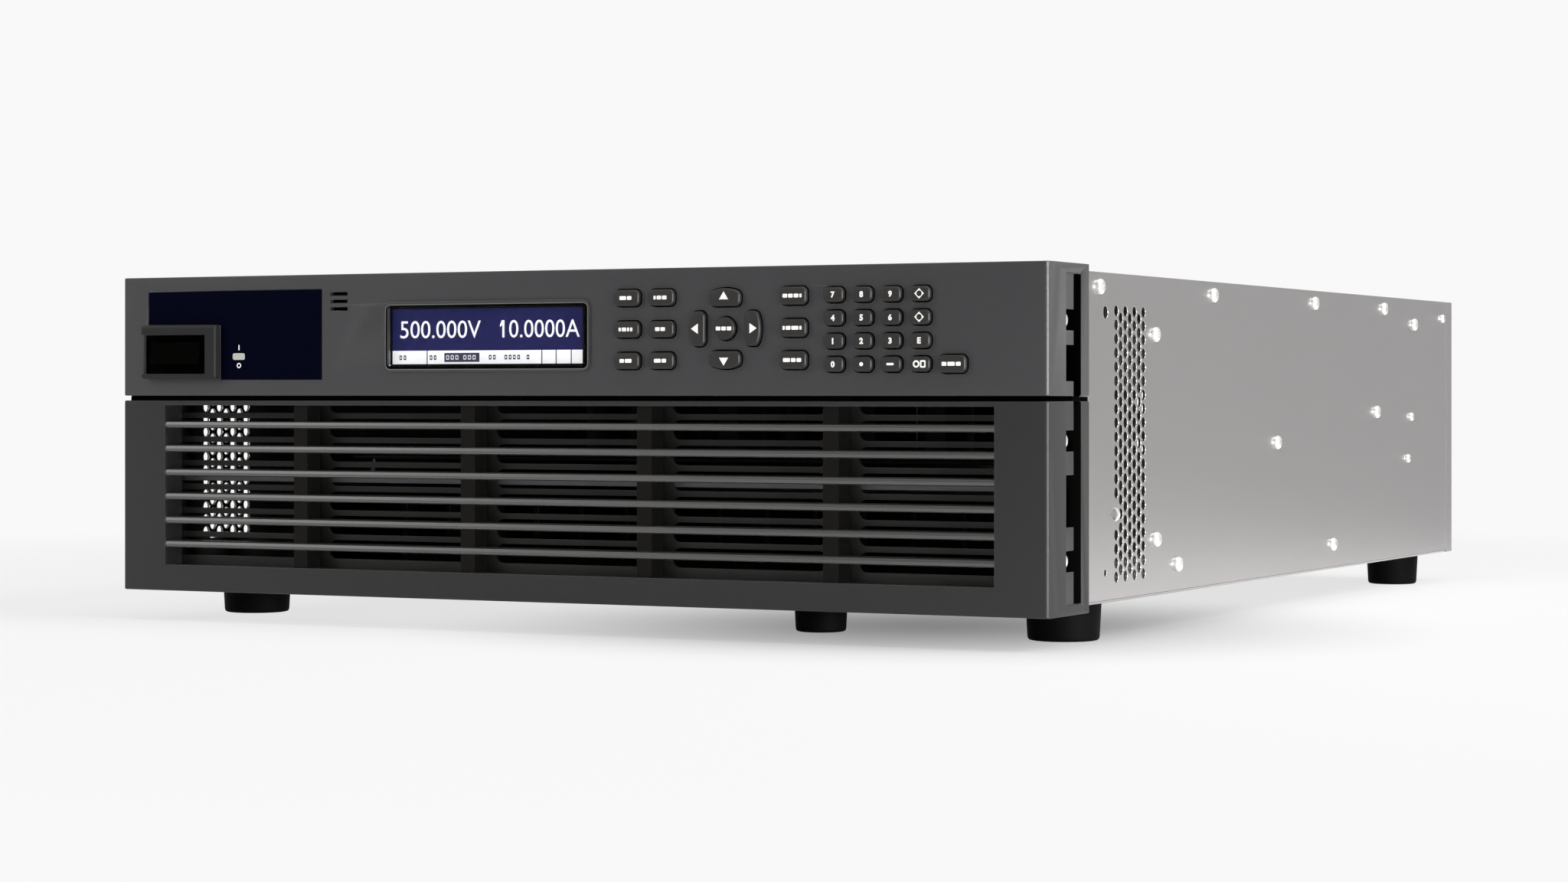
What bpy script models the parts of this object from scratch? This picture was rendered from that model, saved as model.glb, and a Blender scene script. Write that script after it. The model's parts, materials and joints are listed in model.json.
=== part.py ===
"""Bench power supply, full rack width and three rack units tall, as separate pieces.

Lengths are metres. +X is the operator's right, +Y runs from the front to the rear, +Z is up.
Every place below is measured from the middle of the bezel's bottom front edge. The empty named
assembly carries all pieces and sets that edge so that the feet stand on Z = 0 and the origin lies
under the middle of the whole part.
"""

import math

import bmesh
import bpy
from mathutils import Vector

# Clearance between pieces that touch
SEAT = 0.0003
# How far a cutter or a fused piece reaches past the face it meets
OVERRUN = 0.001

# Bezels: two moulded frames, one above the other
BEZEL_WIDTH = 0.4256
UPPER_BEZEL_HEIGHT = 0.0501
LOWER_BEZEL_HEIGHT = 0.0805
SEAM_GAP = 0.002
BEZEL_DEPTH = 0.0407
BEZEL_WALL = 0.00205
PANEL_WALL = 0.003
GRILLE_WALL = 0.0117
BEZEL_EDGE_RADIUS = 0.0016
EDGE_STEPS = 3
TONGUE_SET_BACK = 0.0022
TONGUE_WALL = 0.003
LIP_TONGUE = 0.0007

# Side columns of the bezels, with the channel that takes a rack ear and its notches
COLUMN_WIDTH = 0.0098
LIP_WALL = 0.0017
CHANNEL_START = 0.026
CHANNEL_WIDTH = 0.006
CHANNEL_DEPTH = 0.008
CHANNEL_REAR_WALL = 0.0012
CHANNEL_END_WALL = 0.0041
EAR_RECESS = 0.0006
EAR_RECESS_MARGIN = 0.0004
NOTCH_LENGTH = 0.0085
NOTCH_SPANS = (
    (0.0163, 0.0243),
    (0.0331, 0.0528),
    (0.0616, 0.0696),
    (0.0880, 0.1017),
    (0.1071, 0.1151),
)

# Grille in the lower bezel
GRILLE_SIDE = 0.0219
GRILLE_BASE = 0.011
GRILLE_TOP = 0.002
BAR_PITCH = 0.0101
BAR_FIRST_DROP = 0.0082
BAR_HEIGHT = 0.003
BAR_NOSE = 0.0002
BAR_SHOULDER = 0.0012
BAR_BACK = 0.009
BAY_PITCH = 0.0816
RIB_WIDTH = 0.0066
RIB_FRONT = 0.0014
RIB_BACK = 0.0107

# Slotted sheet behind the grille
FRONT_SHEET = 0.0012
SLOT_LENGTH = 0.068
SLOT_HEIGHT = 0.0078
SLOT_CORNER = 0.003
SLOT_FIRST_RISE = 0.0007
SLOT_ROWS = 7
SLOT_MARGIN = 0.004

# Chassis sheets
SHEET = 0.0012
TRAY_SHEET = 0.0015
CHASSIS_DEPTH = 0.5152
TRAY_FLANGE = 0.0175
REAR_FLANGE = 0.0107
COVER_FLANGE = 0.0135
COVER_JOGGLE = 0.0004

# Vents in the side panels: staggered columns of small holes
VENT_HOLE = 0.005
VENT_SIDES = 4
VENT_ROWS = 20
VENT_COLUMNS = 7
VENT_ROW_PITCH = 0.00546
VENT_COLUMN_PITCH = 0.00495
VENT_BASE = 0.00955
VENT_START_RIGHT = 0.0406
VENT_START_LEFT = 0.021

# Feet
FOOT_DROP = 0.0127
FOOT_RADIUS = 0.0151
REAR_FOOT_RADIUS = 0.013
FOOT_TAPER = 0.0007
FOOT_EDGE = 0.0015
FOOT_SIDE_INSET = 0.0193
FOOT_FRONT = 0.0335
FOOT_REAR = 0.0407
MIDDLE_FOOT_X = 0.086
MIDDLE_FOOT_RADIUS = 0.0112
FOOT_SIDES = 16

# Label plate and power switch at the left of the upper bezel
PLATE_LEFT = 0.0135
PLATE_TO_PORT = 0.0045
PLATE_BASE = 0.0069
PLATE_HEIGHT = 0.037
PLATE_THICKNESS = 0.0005
GUARD_LEFT = 0.0125
GUARD_BASE = 0.0072
GUARD_PROUD = 0.004
GUARD_BEVEL = 0.0008
GUARD_RIGHT_WALL = 0.0054
GUARD_TOP_BAR = 0.0041
GUARD_BOTTOM_BAR = 0.002
RECESS_WIDTH = 0.0327
RECESS_HEIGHT = 0.0164
RECESS_FLOOR = 0.0005
BARREL_PROUD = 0.0006
SWITCH_WALL = 0.0012
SWITCH_REAR = 0.0112
POCKET_FLOOR = 0.0075
ROCKER_WIDTH = 0.0255
ROCKER_HALF_HEIGHT = 0.0046
ROCKER_BARREL = 0.0043
ROCKER_PIVOT_DEPTH = 0.002
ROCKER_NECK = 0.0028
ROCKER_EDGE_REACH = 0.0054
ROCKER_MIDDLE_REACH = 0.0042
ROCKER_TILT = math.radians(7.0)

# Three small slots beside the label plate
PORT_TO_WINDOW = 0.0198
PORT_LENGTH = 0.0083
PORT_HEIGHT = 0.0014
PORT_FIRST_RISE = 0.042
PORT_PITCH = 0.0031
PORT_COUNT = 3

# Display
WINDOW_TO_KEYS = 0.01305
WINDOW_WIDTH = 0.0941
WINDOW_BASE = 0.01145
WINDOW_HEIGHT = 0.02535
WINDOW_CORNER = 0.0015
WINDOW_SET_BACK = 0.0006
RIM_WIDTH = 0.0015
RIM_PROUD = 0.0008
MODULE_MARGIN_X = 0.004
MODULE_MARGIN_Z = 0.003
MODULE_DEPTH = 0.0075

# Keys
KEY_PROUD = 0.0022
KEY_CROWN = 0.0005
KEY_TRAVEL = 0.0012
KEY_FLANGE = 0.0007
KEY_FLANGE_THICKNESS = 0.001
KEY_CORNER = 0.0022
KEY_ROW_RISE = 0.0261
KEY_ROW_PITCH = 0.01235
SOFT_KEY_TO_NAV = 0.0281
SOFT_KEY_PITCH = 0.0155
SOFT_KEY_SIZE = (0.0117, 0.0067)
MODE_KEY_TO_PAD = 0.0173
MODE_KEY_SIZE = (0.0118, 0.0072)
PAD_LEFT = 0.125
PAD_PITCH_X = 0.01205
PAD_TOP_RISE = 0.0386
PAD_PITCH_Z = 0.00885
PAD_KEY_SIZE = (0.0087, 0.006)
ENTER_KEY_GAP = 0.0132
ENTER_KEY_SIZE = (0.0117, 0.007)
NAV_TO_MODE_KEY = 0.0297
NAV_INNER = 0.0085
NAV_OUTER = 0.0158
NAV_HALF_WIDTH = 0.00695
NAV_CORNER = 0.0024
NAV_STEPS = 3
SELECT_RADIUS = 0.0046
SELECT_SIDES = 12
BOARD_SHEET = 0.0016
BOARD_TO_MODULE = 0.0004
BOARD_RIGHT = 0.0068
BOARD_BELOW = 0.0095
BOARD_ABOVE = 0.0065
BOSS_RADIUS = 0.0018
BOSS_INSET = 0.0022
BOSS_SIDES = 8

# Rear panel, fans, mains inlet and output bars
FAN_MARGIN = 0.0031
FAN_DEPTH = 0.025
FAN_RIM = 0.0025
FAN_GAP = 0.003
FAN_RIGHT = 0.008
FAN_CORNER = 0.006
FAN_SIDES = 24
FAN_HUB = 0.019
HUB_SIDES = 12
STRUT_WIDTH = 0.007
STRUT_DEPTH = 0.004
STRUT_COUNT = 4
ROTOR_DEPTH = 0.0185
BLADE_COUNT = 7
BLADE_TIP_GAP = 0.0015
BLADE_THICKNESS = 0.0016
BLADE_ROOT_PITCH = math.radians(48.0)
BLADE_TIP_PITCH = math.radians(28.0)
BLADE_CHORD = 0.018
GUARD_SLOT_WIDTH = 0.007
GUARD_SLOT_PITCH = 0.0098
INLET_TO_FAN = 0.0035
INLET_RISE = 0.034
INLET_WIDTH = 0.034
INLET_HEIGHT = 0.027
INLET_FLANGE = 0.005
INLET_FLANGE_THICKNESS = 0.0025
INLET_WALL = 0.002
INLET_CAVITY = 0.0165
INLET_BODY = 0.022
INLET_CORNER = 0.004
BLADE_PIN_WIDTH = 0.002
BLADE_PIN_HEIGHT = 0.008
BLADE_PIN_LENGTH = 0.0145
BLADE_PIN_PITCH = 0.013
BLADE_PIN_DROP = 0.004
OUTPUT_TO_INLET = 0.026
OUTPUT_PITCH = 0.042
OUTPUT_BAR_WIDTH = 0.006
OUTPUT_BAR_HEIGHT = 0.04
OUTPUT_RISE = 0.05
OUTPUT_OUTSIDE = 0.024
OUTPUT_SHOULDER = 0.001
OUTPUT_INSIDE = 0.05
OUTPUT_HOLE = 0.0045
OUTPUT_HOLE_SIDES = 10

# Inside: shelf, power board, heatsink
SHELF_RISE = 0.044
SHELF_LIP = 0.0037
SHELF_DEPTH = 0.385
STANDOFF = 0.006
BOARD_START = 0.125
BOARD_DEPTH = 0.25
BOARD_WIDTH = 0.36
CAPACITOR_RADIUS = 0.0125
CAPACITOR_HEIGHT = 0.04
CAPACITOR_PITCH = 0.034
CAPACITOR_COUNT = 6
CHOKE_SIZE = (0.05, 0.055, 0.038)
CHOKE_COUNT = 3
CHOKE_PITCH = 0.085
SINK_WIDTH = 0.3
SINK_DEPTH = 0.24
SINK_START = 0.12
SINK_BASE = 0.007
SINK_FIN = 0.0025
SINK_FIN_HEIGHT = 0.026
SINK_FIN_COUNT = 14

# Places worked out from the sizes above
HALF_WIDTH = BEZEL_WIDTH / 2
UPPER_BASE = LOWER_BEZEL_HEIGHT + SEAM_GAP
BEZEL_HEIGHT = UPPER_BASE + UPPER_BEZEL_HEIGHT
COLUMN_INNER = HALF_WIDTH - COLUMN_WIDTH
CHANNEL_END = CHANNEL_START + CHANNEL_WIDTH
COLUMN_REAR = CHANNEL_END + CHANNEL_REAR_WALL
CHASSIS_FRONT = COLUMN_REAR + SEAT
CHASSIS_REAR = CHASSIS_FRONT + CHASSIS_DEPTH
CHASSIS_BASE = BEZEL_WALL + SEAT
CHASSIS_TOP = BEZEL_HEIGHT - BEZEL_WALL - SEAT
PANEL_OUTER = HALF_WIDTH - LIP_WALL - SEAT
PANEL_INNER = PANEL_OUTER - SHEET
INSIDE_HALF = PANEL_INNER - SEAT
FLOOR_TOP = CHASSIS_BASE + TRAY_SHEET
COVER_UNDERSIDE = CHASSIS_TOP - SHEET
REAR_SHEET_FRONT = CHASSIS_REAR - TRAY_SHEET
SHEET_END = REAR_SHEET_FRONT - SEAT
REAR_FLANGE_START = CHASSIS_REAR - REAR_FLANGE
FRONT_SHEET_START = GRILLE_WALL + SEAT
FRONT_SHEET_END = FRONT_SHEET_START + FRONT_SHEET
GRILLE_HALF = HALF_WIDTH - GRILLE_SIDE
GRILLE_CEILING = LOWER_BEZEL_HEIGHT - GRILLE_TOP
FRONT_SHEET_HALF = COLUMN_INNER - SEAT
BAY_COUNT = 1 + int((2 * (FRONT_SHEET_HALF - SLOT_MARGIN) - SLOT_LENGTH) / BAY_PITCH)
KEY_MIDDLE_Z = UPPER_BASE + KEY_ROW_RISE
PAD_TOP_Z = UPPER_BASE + PAD_TOP_RISE
KEY_FLANGE_START = PANEL_WALL + SEAT
KEY_BACK = KEY_FLANGE_START + KEY_FLANGE_THICKNESS
BOARD_FRONT = KEY_BACK + KEY_TRAVEL + SEAT
ENTER_X = PAD_LEFT + 3 * PAD_PITCH_X + ENTER_KEY_GAP
MODE_KEY_X = PAD_LEFT - MODE_KEY_TO_PAD
NAV_X = MODE_KEY_X - NAV_TO_MODE_KEY
SOFT_KEY_LEFT = NAV_X - SOFT_KEY_TO_NAV - SOFT_KEY_PITCH
GUARD_X = -HALF_WIDTH + GUARD_LEFT
GUARD_Z = UPPER_BASE + GUARD_BASE
GUARD_WIDTH = RECESS_WIDTH + GUARD_RIGHT_WALL
GUARD_HEIGHT = GUARD_BOTTOM_BAR + RECESS_HEIGHT + GUARD_TOP_BAR
SWITCH_X = GUARD_X + RECESS_WIDTH / 2
SWITCH_Z = GUARD_Z + GUARD_BOTTOM_BAR + RECESS_HEIGHT / 2
WINDOW_RIGHT = SOFT_KEY_LEFT - SOFT_KEY_SIZE[0] / 2 - WINDOW_TO_KEYS
WINDOW_X = WINDOW_RIGHT - WINDOW_WIDTH / 2
WINDOW_Z = UPPER_BASE + WINDOW_BASE + WINDOW_HEIGHT / 2
PORT_LEFT = WINDOW_RIGHT - WINDOW_WIDTH - PORT_TO_WINDOW - PORT_LENGTH
PLATE_RIGHT = PORT_LEFT - PLATE_TO_PORT
BOARD_LEFT = WINDOW_RIGHT + MODULE_MARGIN_X + BOARD_TO_MODULE
FAN_SIZE = COVER_UNDERSIDE - FLOOR_TOP - 2 * FAN_MARGIN
FAN_BORE = FAN_SIZE / 2 - FAN_RIM
FAN_Z = (COVER_UNDERSIDE + FLOOR_TOP) / 2
FAN_REAR = REAR_SHEET_FRONT - SEAT
FAN_CENTRES = (
    INSIDE_HALF - FAN_RIGHT - FAN_SIZE / 2,
    INSIDE_HALF - FAN_RIGHT - FAN_SIZE * 1.5 - FAN_GAP,
)
ROTOR_REAR = FAN_REAR - STRUT_DEPTH - SEAT
INLET_X = FAN_CENTRES[1] - FAN_SIZE / 2 - INLET_TO_FAN - INLET_FLANGE - INLET_WIDTH / 2
INLET_Z = CHASSIS_BASE + INLET_RISE
OUTPUT_X = INLET_X - INLET_WIDTH / 2 - INLET_FLANGE - OUTPUT_TO_INLET
OUTPUT_Z = CHASSIS_BASE + OUTPUT_RISE + OUTPUT_BAR_HEIGHT / 2
SHELF_Z = CHASSIS_BASE + SHELF_RISE
SHELF_START = FRONT_SHEET_END + SEAT
FRONT_REACH = GUARD_PROUD
REAR_REACH = CHASSIS_REAR + OUTPUT_OUTSIDE
ASSEMBLY_Y = -(REAR_REACH - FRONT_REACH) / 2

# Colours as linear RGB with roughness and metallic
FINISHES = {
    "bezel_plastic": ((0.075, 0.075, 0.077), 0.55, 0.0),
    "key_rubber": ((0.028, 0.028, 0.03), 0.6, 0.0),
    "label_navy": ((0.012, 0.016, 0.035), 0.35, 0.0),
    "switch_plastic": ((0.012, 0.012, 0.013), 0.4, 0.0),
    "display_glass": ((0.03, 0.03, 0.16), 0.08, 0.0),
    "display_module": ((0.05, 0.05, 0.055), 0.5, 0.0),
    "chassis_steel": ((0.42, 0.42, 0.42), 0.45, 0.6),
    "zinc_sheet": ((0.55, 0.56, 0.57), 0.35, 0.9),
    "dark_sheet": ((0.035, 0.035, 0.034), 0.45, 0.3),
    "foot_rubber": ((0.008, 0.008, 0.008), 0.8, 0.0),
    "fan_plastic": ((0.015, 0.015, 0.016), 0.5, 0.0),
    "circuit_board": ((0.02, 0.09, 0.04), 0.5, 0.0),
    "heatsink_aluminium": ((0.6, 0.61, 0.62), 0.4, 0.9),
    "inlet_plastic": ((0.01, 0.01, 0.01), 0.45, 0.0),
    "plated_copper": ((0.7, 0.68, 0.62), 0.3, 1.0),
}


def material(name):
    """Return the named material, made on first use."""
    found = bpy.data.materials.get(name)
    if found:
        return found
    colour, roughness, metallic = FINISHES[name]
    made = bpy.data.materials.new(name)
    made.use_nodes = True
    shader = made.node_tree.nodes["Principled BSDF"]
    shader.inputs["Base Color"].default_value = (*colour, 1.0)
    shader.inputs["Roughness"].default_value = roughness
    shader.inputs["Metallic"].default_value = metallic
    made.diffuse_color = (*colour, 1.0)
    return made


def on_axis(axis, a, b, along):
    """Return the point with outline coordinates a, b at a distance along the named axis."""
    if axis == "X":
        return Vector((along, a, b))
    if axis == "Y":
        return Vector((a, along, b))
    return Vector((a, b, along))


def rectangle(a0, a1, b0, b1):
    """Return the four corners of a rectangle."""
    return [(a0, b0), (a1, b0), (a1, b1), (a0, b1)]


def arc(centre, radius, start, end, steps):
    """Return the points of an arc, both ends included, angles in radians."""
    turn = (end - start) / steps
    return [
        (
            centre[0] + radius * math.cos(start + turn * i),
            centre[1] + radius * math.sin(start + turn * i),
        )
        for i in range(steps + 1)
    ]


def circle(centre, radius, sides):
    """Return a regular polygon with a flat side at each end of both axes."""
    turn = math.tau / sides
    return arc(centre, radius, turn / 2, math.tau - turn / 2, sides - 1)


def rounded_rectangle(centre, size, corner, steps=1):
    """Return a rectangle with rounded corners, each in the given number of steps."""
    half_a = size[0] / 2 - corner
    half_b = size[1] / 2 - corner
    outline = []
    for quarter, (sign_a, sign_b) in enumerate(((1, 1), (-1, 1), (-1, -1), (1, -1))):
        middle = (centre[0] + sign_a * half_a, centre[1] + sign_b * half_b)
        start = quarter * math.pi / 2
        outline += arc(middle, corner, start, start + math.pi / 2, steps)
    return outline


def loft(rings):
    """Return a solid whose skin runs through rings of points, closed at both ends."""
    shape = bmesh.new()
    loops = [[shape.verts.new(point) for point in ring] for ring in rings]
    for first, second in zip(loops, loops[1:]):
        for i, vert in enumerate(first):
            following = (i + 1) % len(first)
            shape.faces.new((vert, first[following], second[following], second[i]))
    shape.faces.new(loops[0])
    shape.faces.new(loops[-1])
    bmesh.ops.recalc_face_normals(shape, faces=shape.faces)
    return shape


def prism(outline, axis, start, end):
    """Return an outline extruded along an axis."""
    rings = [[on_axis(axis, a, b, along) for a, b in outline] for along in (start, end)]
    return loft(rings)


def box(x0, x1, y0, y1, z0, z1):
    """Return a rectangular block."""
    return prism(rectangle(x0, x1, y0, y1), "Z", z0, z1)


def plate(outline, holes, axis, start, end):
    """Return a sheet with holes, extruded along an axis."""
    shape = bmesh.new()
    for loop in [outline, *holes]:
        verts = [shape.verts.new(on_axis(axis, a, b, start)) for a, b in loop]
        for i, vert in enumerate(verts):
            shape.edges.new((vert, verts[(i + 1) % len(verts)]))
    bmesh.ops.triangle_fill(shape, use_beauty=True, edges=shape.edges[:])
    sheet = bmesh.ops.extrude_face_region(shape, geom=shape.faces[:])
    moved = [item for item in sheet["geom"] if isinstance(item, bmesh.types.BMVert)]
    bmesh.ops.translate(shape, verts=moved, vec=on_axis(axis, 0.0, 0.0, end - start))
    bmesh.ops.recalc_face_normals(shape, faces=shape.faces)
    return shape


def together(*shapes):
    """Return one mesh that holds several solids which stay apart."""
    whole = bmesh.new()
    for shape in shapes:
        part = bpy.data.meshes.new("part")
        shape.to_mesh(part)
        shape.free()
        whole.from_mesh(part)
        bpy.data.meshes.remove(part)
    return whole


def add_piece(name, shape, finish, location=(0.0, 0.0, 0.0), round_angle=30.0):
    """Put a solid into the scene under the assembly and return its object."""
    mesh = bpy.data.meshes.new(name)
    shape.to_mesh(mesh)
    shape.free()
    mesh.materials.append(material(finish))
    mesh.shade_smooth()
    mesh.set_sharp_from_angle(angle=math.radians(round_angle))
    piece = bpy.data.objects.new(name, mesh)
    piece.location = location
    piece.parent = bpy.data.objects["assembly"]
    bpy.context.scene.collection.objects.link(piece)
    return piece


def combine(piece, shape, operation):
    """Cut a solid out of a piece, or fuse it to the piece, by a Boolean modifier."""
    label = f"{piece.name}_{operation.lower()}_{len(piece.modifiers)}"
    tool = add_piece(label, shape, piece.data.materials[0].name)
    tool.hide_render = True
    tool.display_type = "WIRE"
    step = piece.modifiers.new(label, "BOOLEAN")
    step.operation = operation
    step.object = tool
    step.solver = "EXACT"


def bezel_block(base, top):
    """Return the outer block of a bezel, with its front upright edges rounded."""
    radius = BEZEL_EDGE_RADIUS
    left = arc((-HALF_WIDTH + radius, radius), radius, math.pi, 1.5 * math.pi, EDGE_STEPS)
    right = arc((HALF_WIDTH - radius, radius), radius, 1.5 * math.pi, math.tau, EDGE_STEPS)
    rear = [(HALF_WIDTH, BEZEL_DEPTH), (-HALF_WIDTH, BEZEL_DEPTH)]
    return prism(left + right + rear, "Z", base, top)


def bezel_hollow(front, base, top):
    """Return the space inside a bezel: between the columns, then out to the thin rear lip."""
    lip = HALF_WIDTH - LIP_WALL
    past = BEZEL_DEPTH + OVERRUN
    right = [(COLUMN_INNER, front), (COLUMN_INNER, COLUMN_REAR), (lip, COLUMN_REAR), (lip, past)]
    left = [(-x, y) for x, y in reversed(right)]
    return prism(right + left, "Z", base, top)


def bezel_channels(base, top, notch_base, notch_top):
    """Return the side channels of a bezel, with those notches that lie on it."""
    floor = HALF_WIDTH - CHANNEL_DEPTH
    past = HALF_WIDTH + OVERRUN
    front = CHANNEL_START - NOTCH_LENGTH
    spans = [span for span in NOTCH_SPANS if notch_base < span[0] and span[1] < notch_top]
    right = [(CHANNEL_END, base), (CHANNEL_END, top), (CHANNEL_START, top)]
    for low, high in reversed(spans):
        right += [(CHANNEL_START, high), (front, high), (front, low), (CHANNEL_START, low)]
    right.append((CHANNEL_START, base))
    return together(prism(right, "X", floor, past), prism(right, "X", -past, -floor))


def ear_recesses(base, top):
    """Return the shallow recesses round the side channels of a bezel."""
    front = CHANNEL_START - NOTCH_LENGTH - EAR_RECESS_MARGIN
    outline = rectangle(front, CHANNEL_START + CHANNEL_WIDTH / 2, base, top)
    floor = HALF_WIDTH - EAR_RECESS
    past = HALF_WIDTH + OVERRUN
    return together(prism(outline, "X", floor, past), prism(outline, "X", -past, -floor))


def seam_tongue(base, top):
    """Return the tongue in the seam between the bezels, set back from the faces it closes."""
    wide = HALF_WIDTH - TONGUE_SET_BACK
    end = CHANNEL_START - SEAT
    floor = HALF_WIDTH - CHANNEL_DEPTH - SEAT
    inner = COLUMN_INNER + SEAT
    rear = COLUMN_REAR - SEAT
    back = TONGUE_SET_BACK + TONGUE_WALL
    right = [(wide, TONGUE_SET_BACK), (wide, end), (floor, end), (floor, rear), (inner, rear), (inner, back)]
    left = [(-x, y) for x, y in reversed(right)]
    pieces = [prism(right + left, "Z", base, top)]
    lip = HALF_WIDTH - LIP_WALL / 2
    for side in (-1, 1):
        near, far = sorted((side * (lip - LIP_TONGUE / 2), side * (lip + LIP_TONGUE / 2)))
        pieces.append(box(near, far, COLUMN_REAR + SEAT, BEZEL_DEPTH - SEAT, base, top))
    return together(*pieces)


def bay_centres():
    """Return the middle X of each bay of the grille."""
    return [(i - (BAY_COUNT - 1) / 2) * BAY_PITCH for i in range(BAY_COUNT)]


def bar_heights():
    """Return the middle Z of each grille bar, from the top down."""
    count = int((GRILLE_CEILING - BAR_FIRST_DROP - GRILLE_BASE) / BAR_PITCH) + 1
    return [GRILLE_CEILING - BAR_FIRST_DROP - i * BAR_PITCH for i in range(count)]


def make_lower_bezel():
    """Lower bezel: a frame round the air inlet, with ribs and round-nosed bars."""
    base = 0.0
    top = LOWER_BEZEL_HEIGHT
    bezel = add_piece("lower_bezel", bezel_block(base, top), "bezel_plastic")
    combine(bezel, bezel_hollow(GRILLE_WALL, BEZEL_WALL, top + OVERRUN), "DIFFERENCE")
    channels = bezel_channels(CHANNEL_END_WALL, top + OVERRUN, base, top)
    combine(bezel, channels, "DIFFERENCE")
    combine(bezel, ear_recesses(CHANNEL_END_WALL - EAR_RECESS_MARGIN, top + OVERRUN), "DIFFERENCE")
    inlet = box(-GRILLE_HALF, GRILLE_HALF, -OVERRUN, GRILLE_WALL + OVERRUN, GRILLE_BASE, GRILLE_CEILING)
    combine(bezel, inlet, "DIFFERENCE")
    bays = bay_centres()
    rib_middles = [(a + b) / 2 for a, b in zip(bays, bays[1:])]
    half_rib = RIB_WIDTH / 2
    low = GRILLE_BASE - OVERRUN
    high = GRILLE_CEILING + OVERRUN
    ribs = [box(x - half_rib, x + half_rib, RIB_FRONT, RIB_BACK, low, high) for x in rib_middles]
    combine(bezel, together(*ribs), "UNION")
    reach = GRILLE_HALF + OVERRUN
    bars = [prism(bar_profile(z), "X", -reach, reach) for z in bar_heights()]
    combine(bezel, together(*bars), "UNION")
    combine(bezel, seam_tongue(top - OVERRUN, top + SEAM_GAP - SEAT), "UNION")


def bar_profile(middle):
    """Return the section of a grille bar: a flat blade with a round nose at the front."""
    half = BAR_HEIGHT / 2
    nose = [
        (BAR_NOSE + (BAR_SHOULDER - BAR_NOSE) * (1 - math.cos(angle)), middle + half * math.sin(angle))
        for angle in (-math.pi / 2, -math.pi / 4, 0.0, math.pi / 4, math.pi / 2)
    ]
    return nose + [(BAR_BACK, middle + half), (BAR_BACK, middle - half)]


def make_front_sheet():
    """Sheet behind both bezels, slotted where the grille lets air in."""
    half = FRONT_SHEET_HALF
    first = GRILLE_CEILING + SLOT_FIRST_RISE
    slots = [
        rounded_rectangle((x, first - row * BAR_PITCH), (SLOT_LENGTH, SLOT_HEIGHT), SLOT_CORNER)
        for x in bay_centres()
        for row in range(SLOT_ROWS)
    ]
    outline = rectangle(-half, half, CHASSIS_BASE, CHASSIS_TOP)
    sheet = plate(outline, slots, "Y", FRONT_SHEET_START, FRONT_SHEET_END)
    add_piece("front_sheet", sheet, "dark_sheet")


def arrow_outline(angle, grow):
    """Return the outline of an arrow key: an arc round the ring's middle, closed by a straight inner side."""
    middle = (NAV_INNER + NAV_OUTER) / 2
    half = NAV_HALF_WIDTH - NAV_CORNER
    corner = NAV_CORNER + grow
    far = math.sqrt((NAV_OUTER - NAV_CORNER) ** 2 - half**2)
    spread = math.atan2(half, far)
    near = NAV_INNER + NAV_CORNER
    quarter = math.pi / 2
    outline = arc((0.0, 0.0), NAV_OUTER + grow, -spread, spread, NAV_STEPS)
    outline += arc((far, half), corner, spread, quarter, 1)[1:]
    outline += arc((near, half), corner, quarter, 2 * quarter, 2)
    outline += arc((near, -half), corner, 2 * quarter, 3 * quarter, 2)
    outline += arc((far, -half), corner, 3 * quarter, 4 * quarter - spread, 1)[:-1]
    cos, sin = math.cos(angle), math.sin(angle)
    shifted = [(a - middle, b) for a, b in outline]
    return [(a * cos - b * sin, a * sin + b * cos) for a, b in shifted]


def key_outline(key, grow):
    """Return the outline of a key about its middle, grown outward by a distance."""
    if key["shape"] == "round":
        return circle((0.0, 0.0), SELECT_RADIUS + grow, SELECT_SIDES)
    if key["shape"] == "arrow":
        return arrow_outline(key["angle"], grow)
    width, height = key["size"]
    return rounded_rectangle((0.0, 0.0), (width + 2 * grow, height + 2 * grow), KEY_CORNER + grow)


def plain_key(name, x, z, size):
    """Return the description of a key with a rounded rectangular face."""
    return {"name": name, "x": x, "z": z, "shape": "plain", "size": size}


def list_keys():
    """Return every key of the panel with its name, its middle and its shape."""
    keys = []
    rows = [KEY_MIDDLE_Z + step * KEY_ROW_PITCH for step in (1, 0, -1)]
    for i, z in enumerate(rows):
        for j in range(2):
            x = SOFT_KEY_LEFT + j * SOFT_KEY_PITCH
            keys.append(plain_key(f"soft_key_{2 * i + j + 1}", x, z, SOFT_KEY_SIZE))
    for i, z in enumerate(rows):
        keys.append(plain_key(f"mode_key_{i + 1}", MODE_KEY_X, z, MODE_KEY_SIZE))
    mean = (NAV_INNER + NAV_OUTER) / 2
    for quarter, name in enumerate(("right", "up", "left", "down")):
        angle = quarter * math.pi / 2
        x = NAV_X + mean * math.cos(angle)
        z = KEY_MIDDLE_Z + mean * math.sin(angle)
        keys.append({"name": f"arrow_{name}_key", "x": x, "z": z, "shape": "arrow", "angle": angle})
    keys.append({"name": "select_key", "x": NAV_X, "z": KEY_MIDDLE_Z, "shape": "round"})
    pad_rows = (
        ("digit_key_7", "digit_key_8", "digit_key_9", "step_up_key"),
        ("digit_key_4", "digit_key_5", "digit_key_6", "step_down_key"),
        ("digit_key_1", "digit_key_2", "digit_key_3", "exponent_key"),
        ("digit_key_0", "point_key", "sign_key", "backspace_key"),
    )
    for i, row in enumerate(pad_rows):
        for j, name in enumerate(row):
            x = PAD_LEFT + j * PAD_PITCH_X
            z = PAD_TOP_Z - i * PAD_PITCH_Z
            keys.append(plain_key(name, x, z, PAD_KEY_SIZE))
    pad_last = PAD_TOP_Z - 3 * PAD_PITCH_Z
    keys.append(plain_key("enter_key", ENTER_X, pad_last, ENTER_KEY_SIZE))
    return keys


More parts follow.
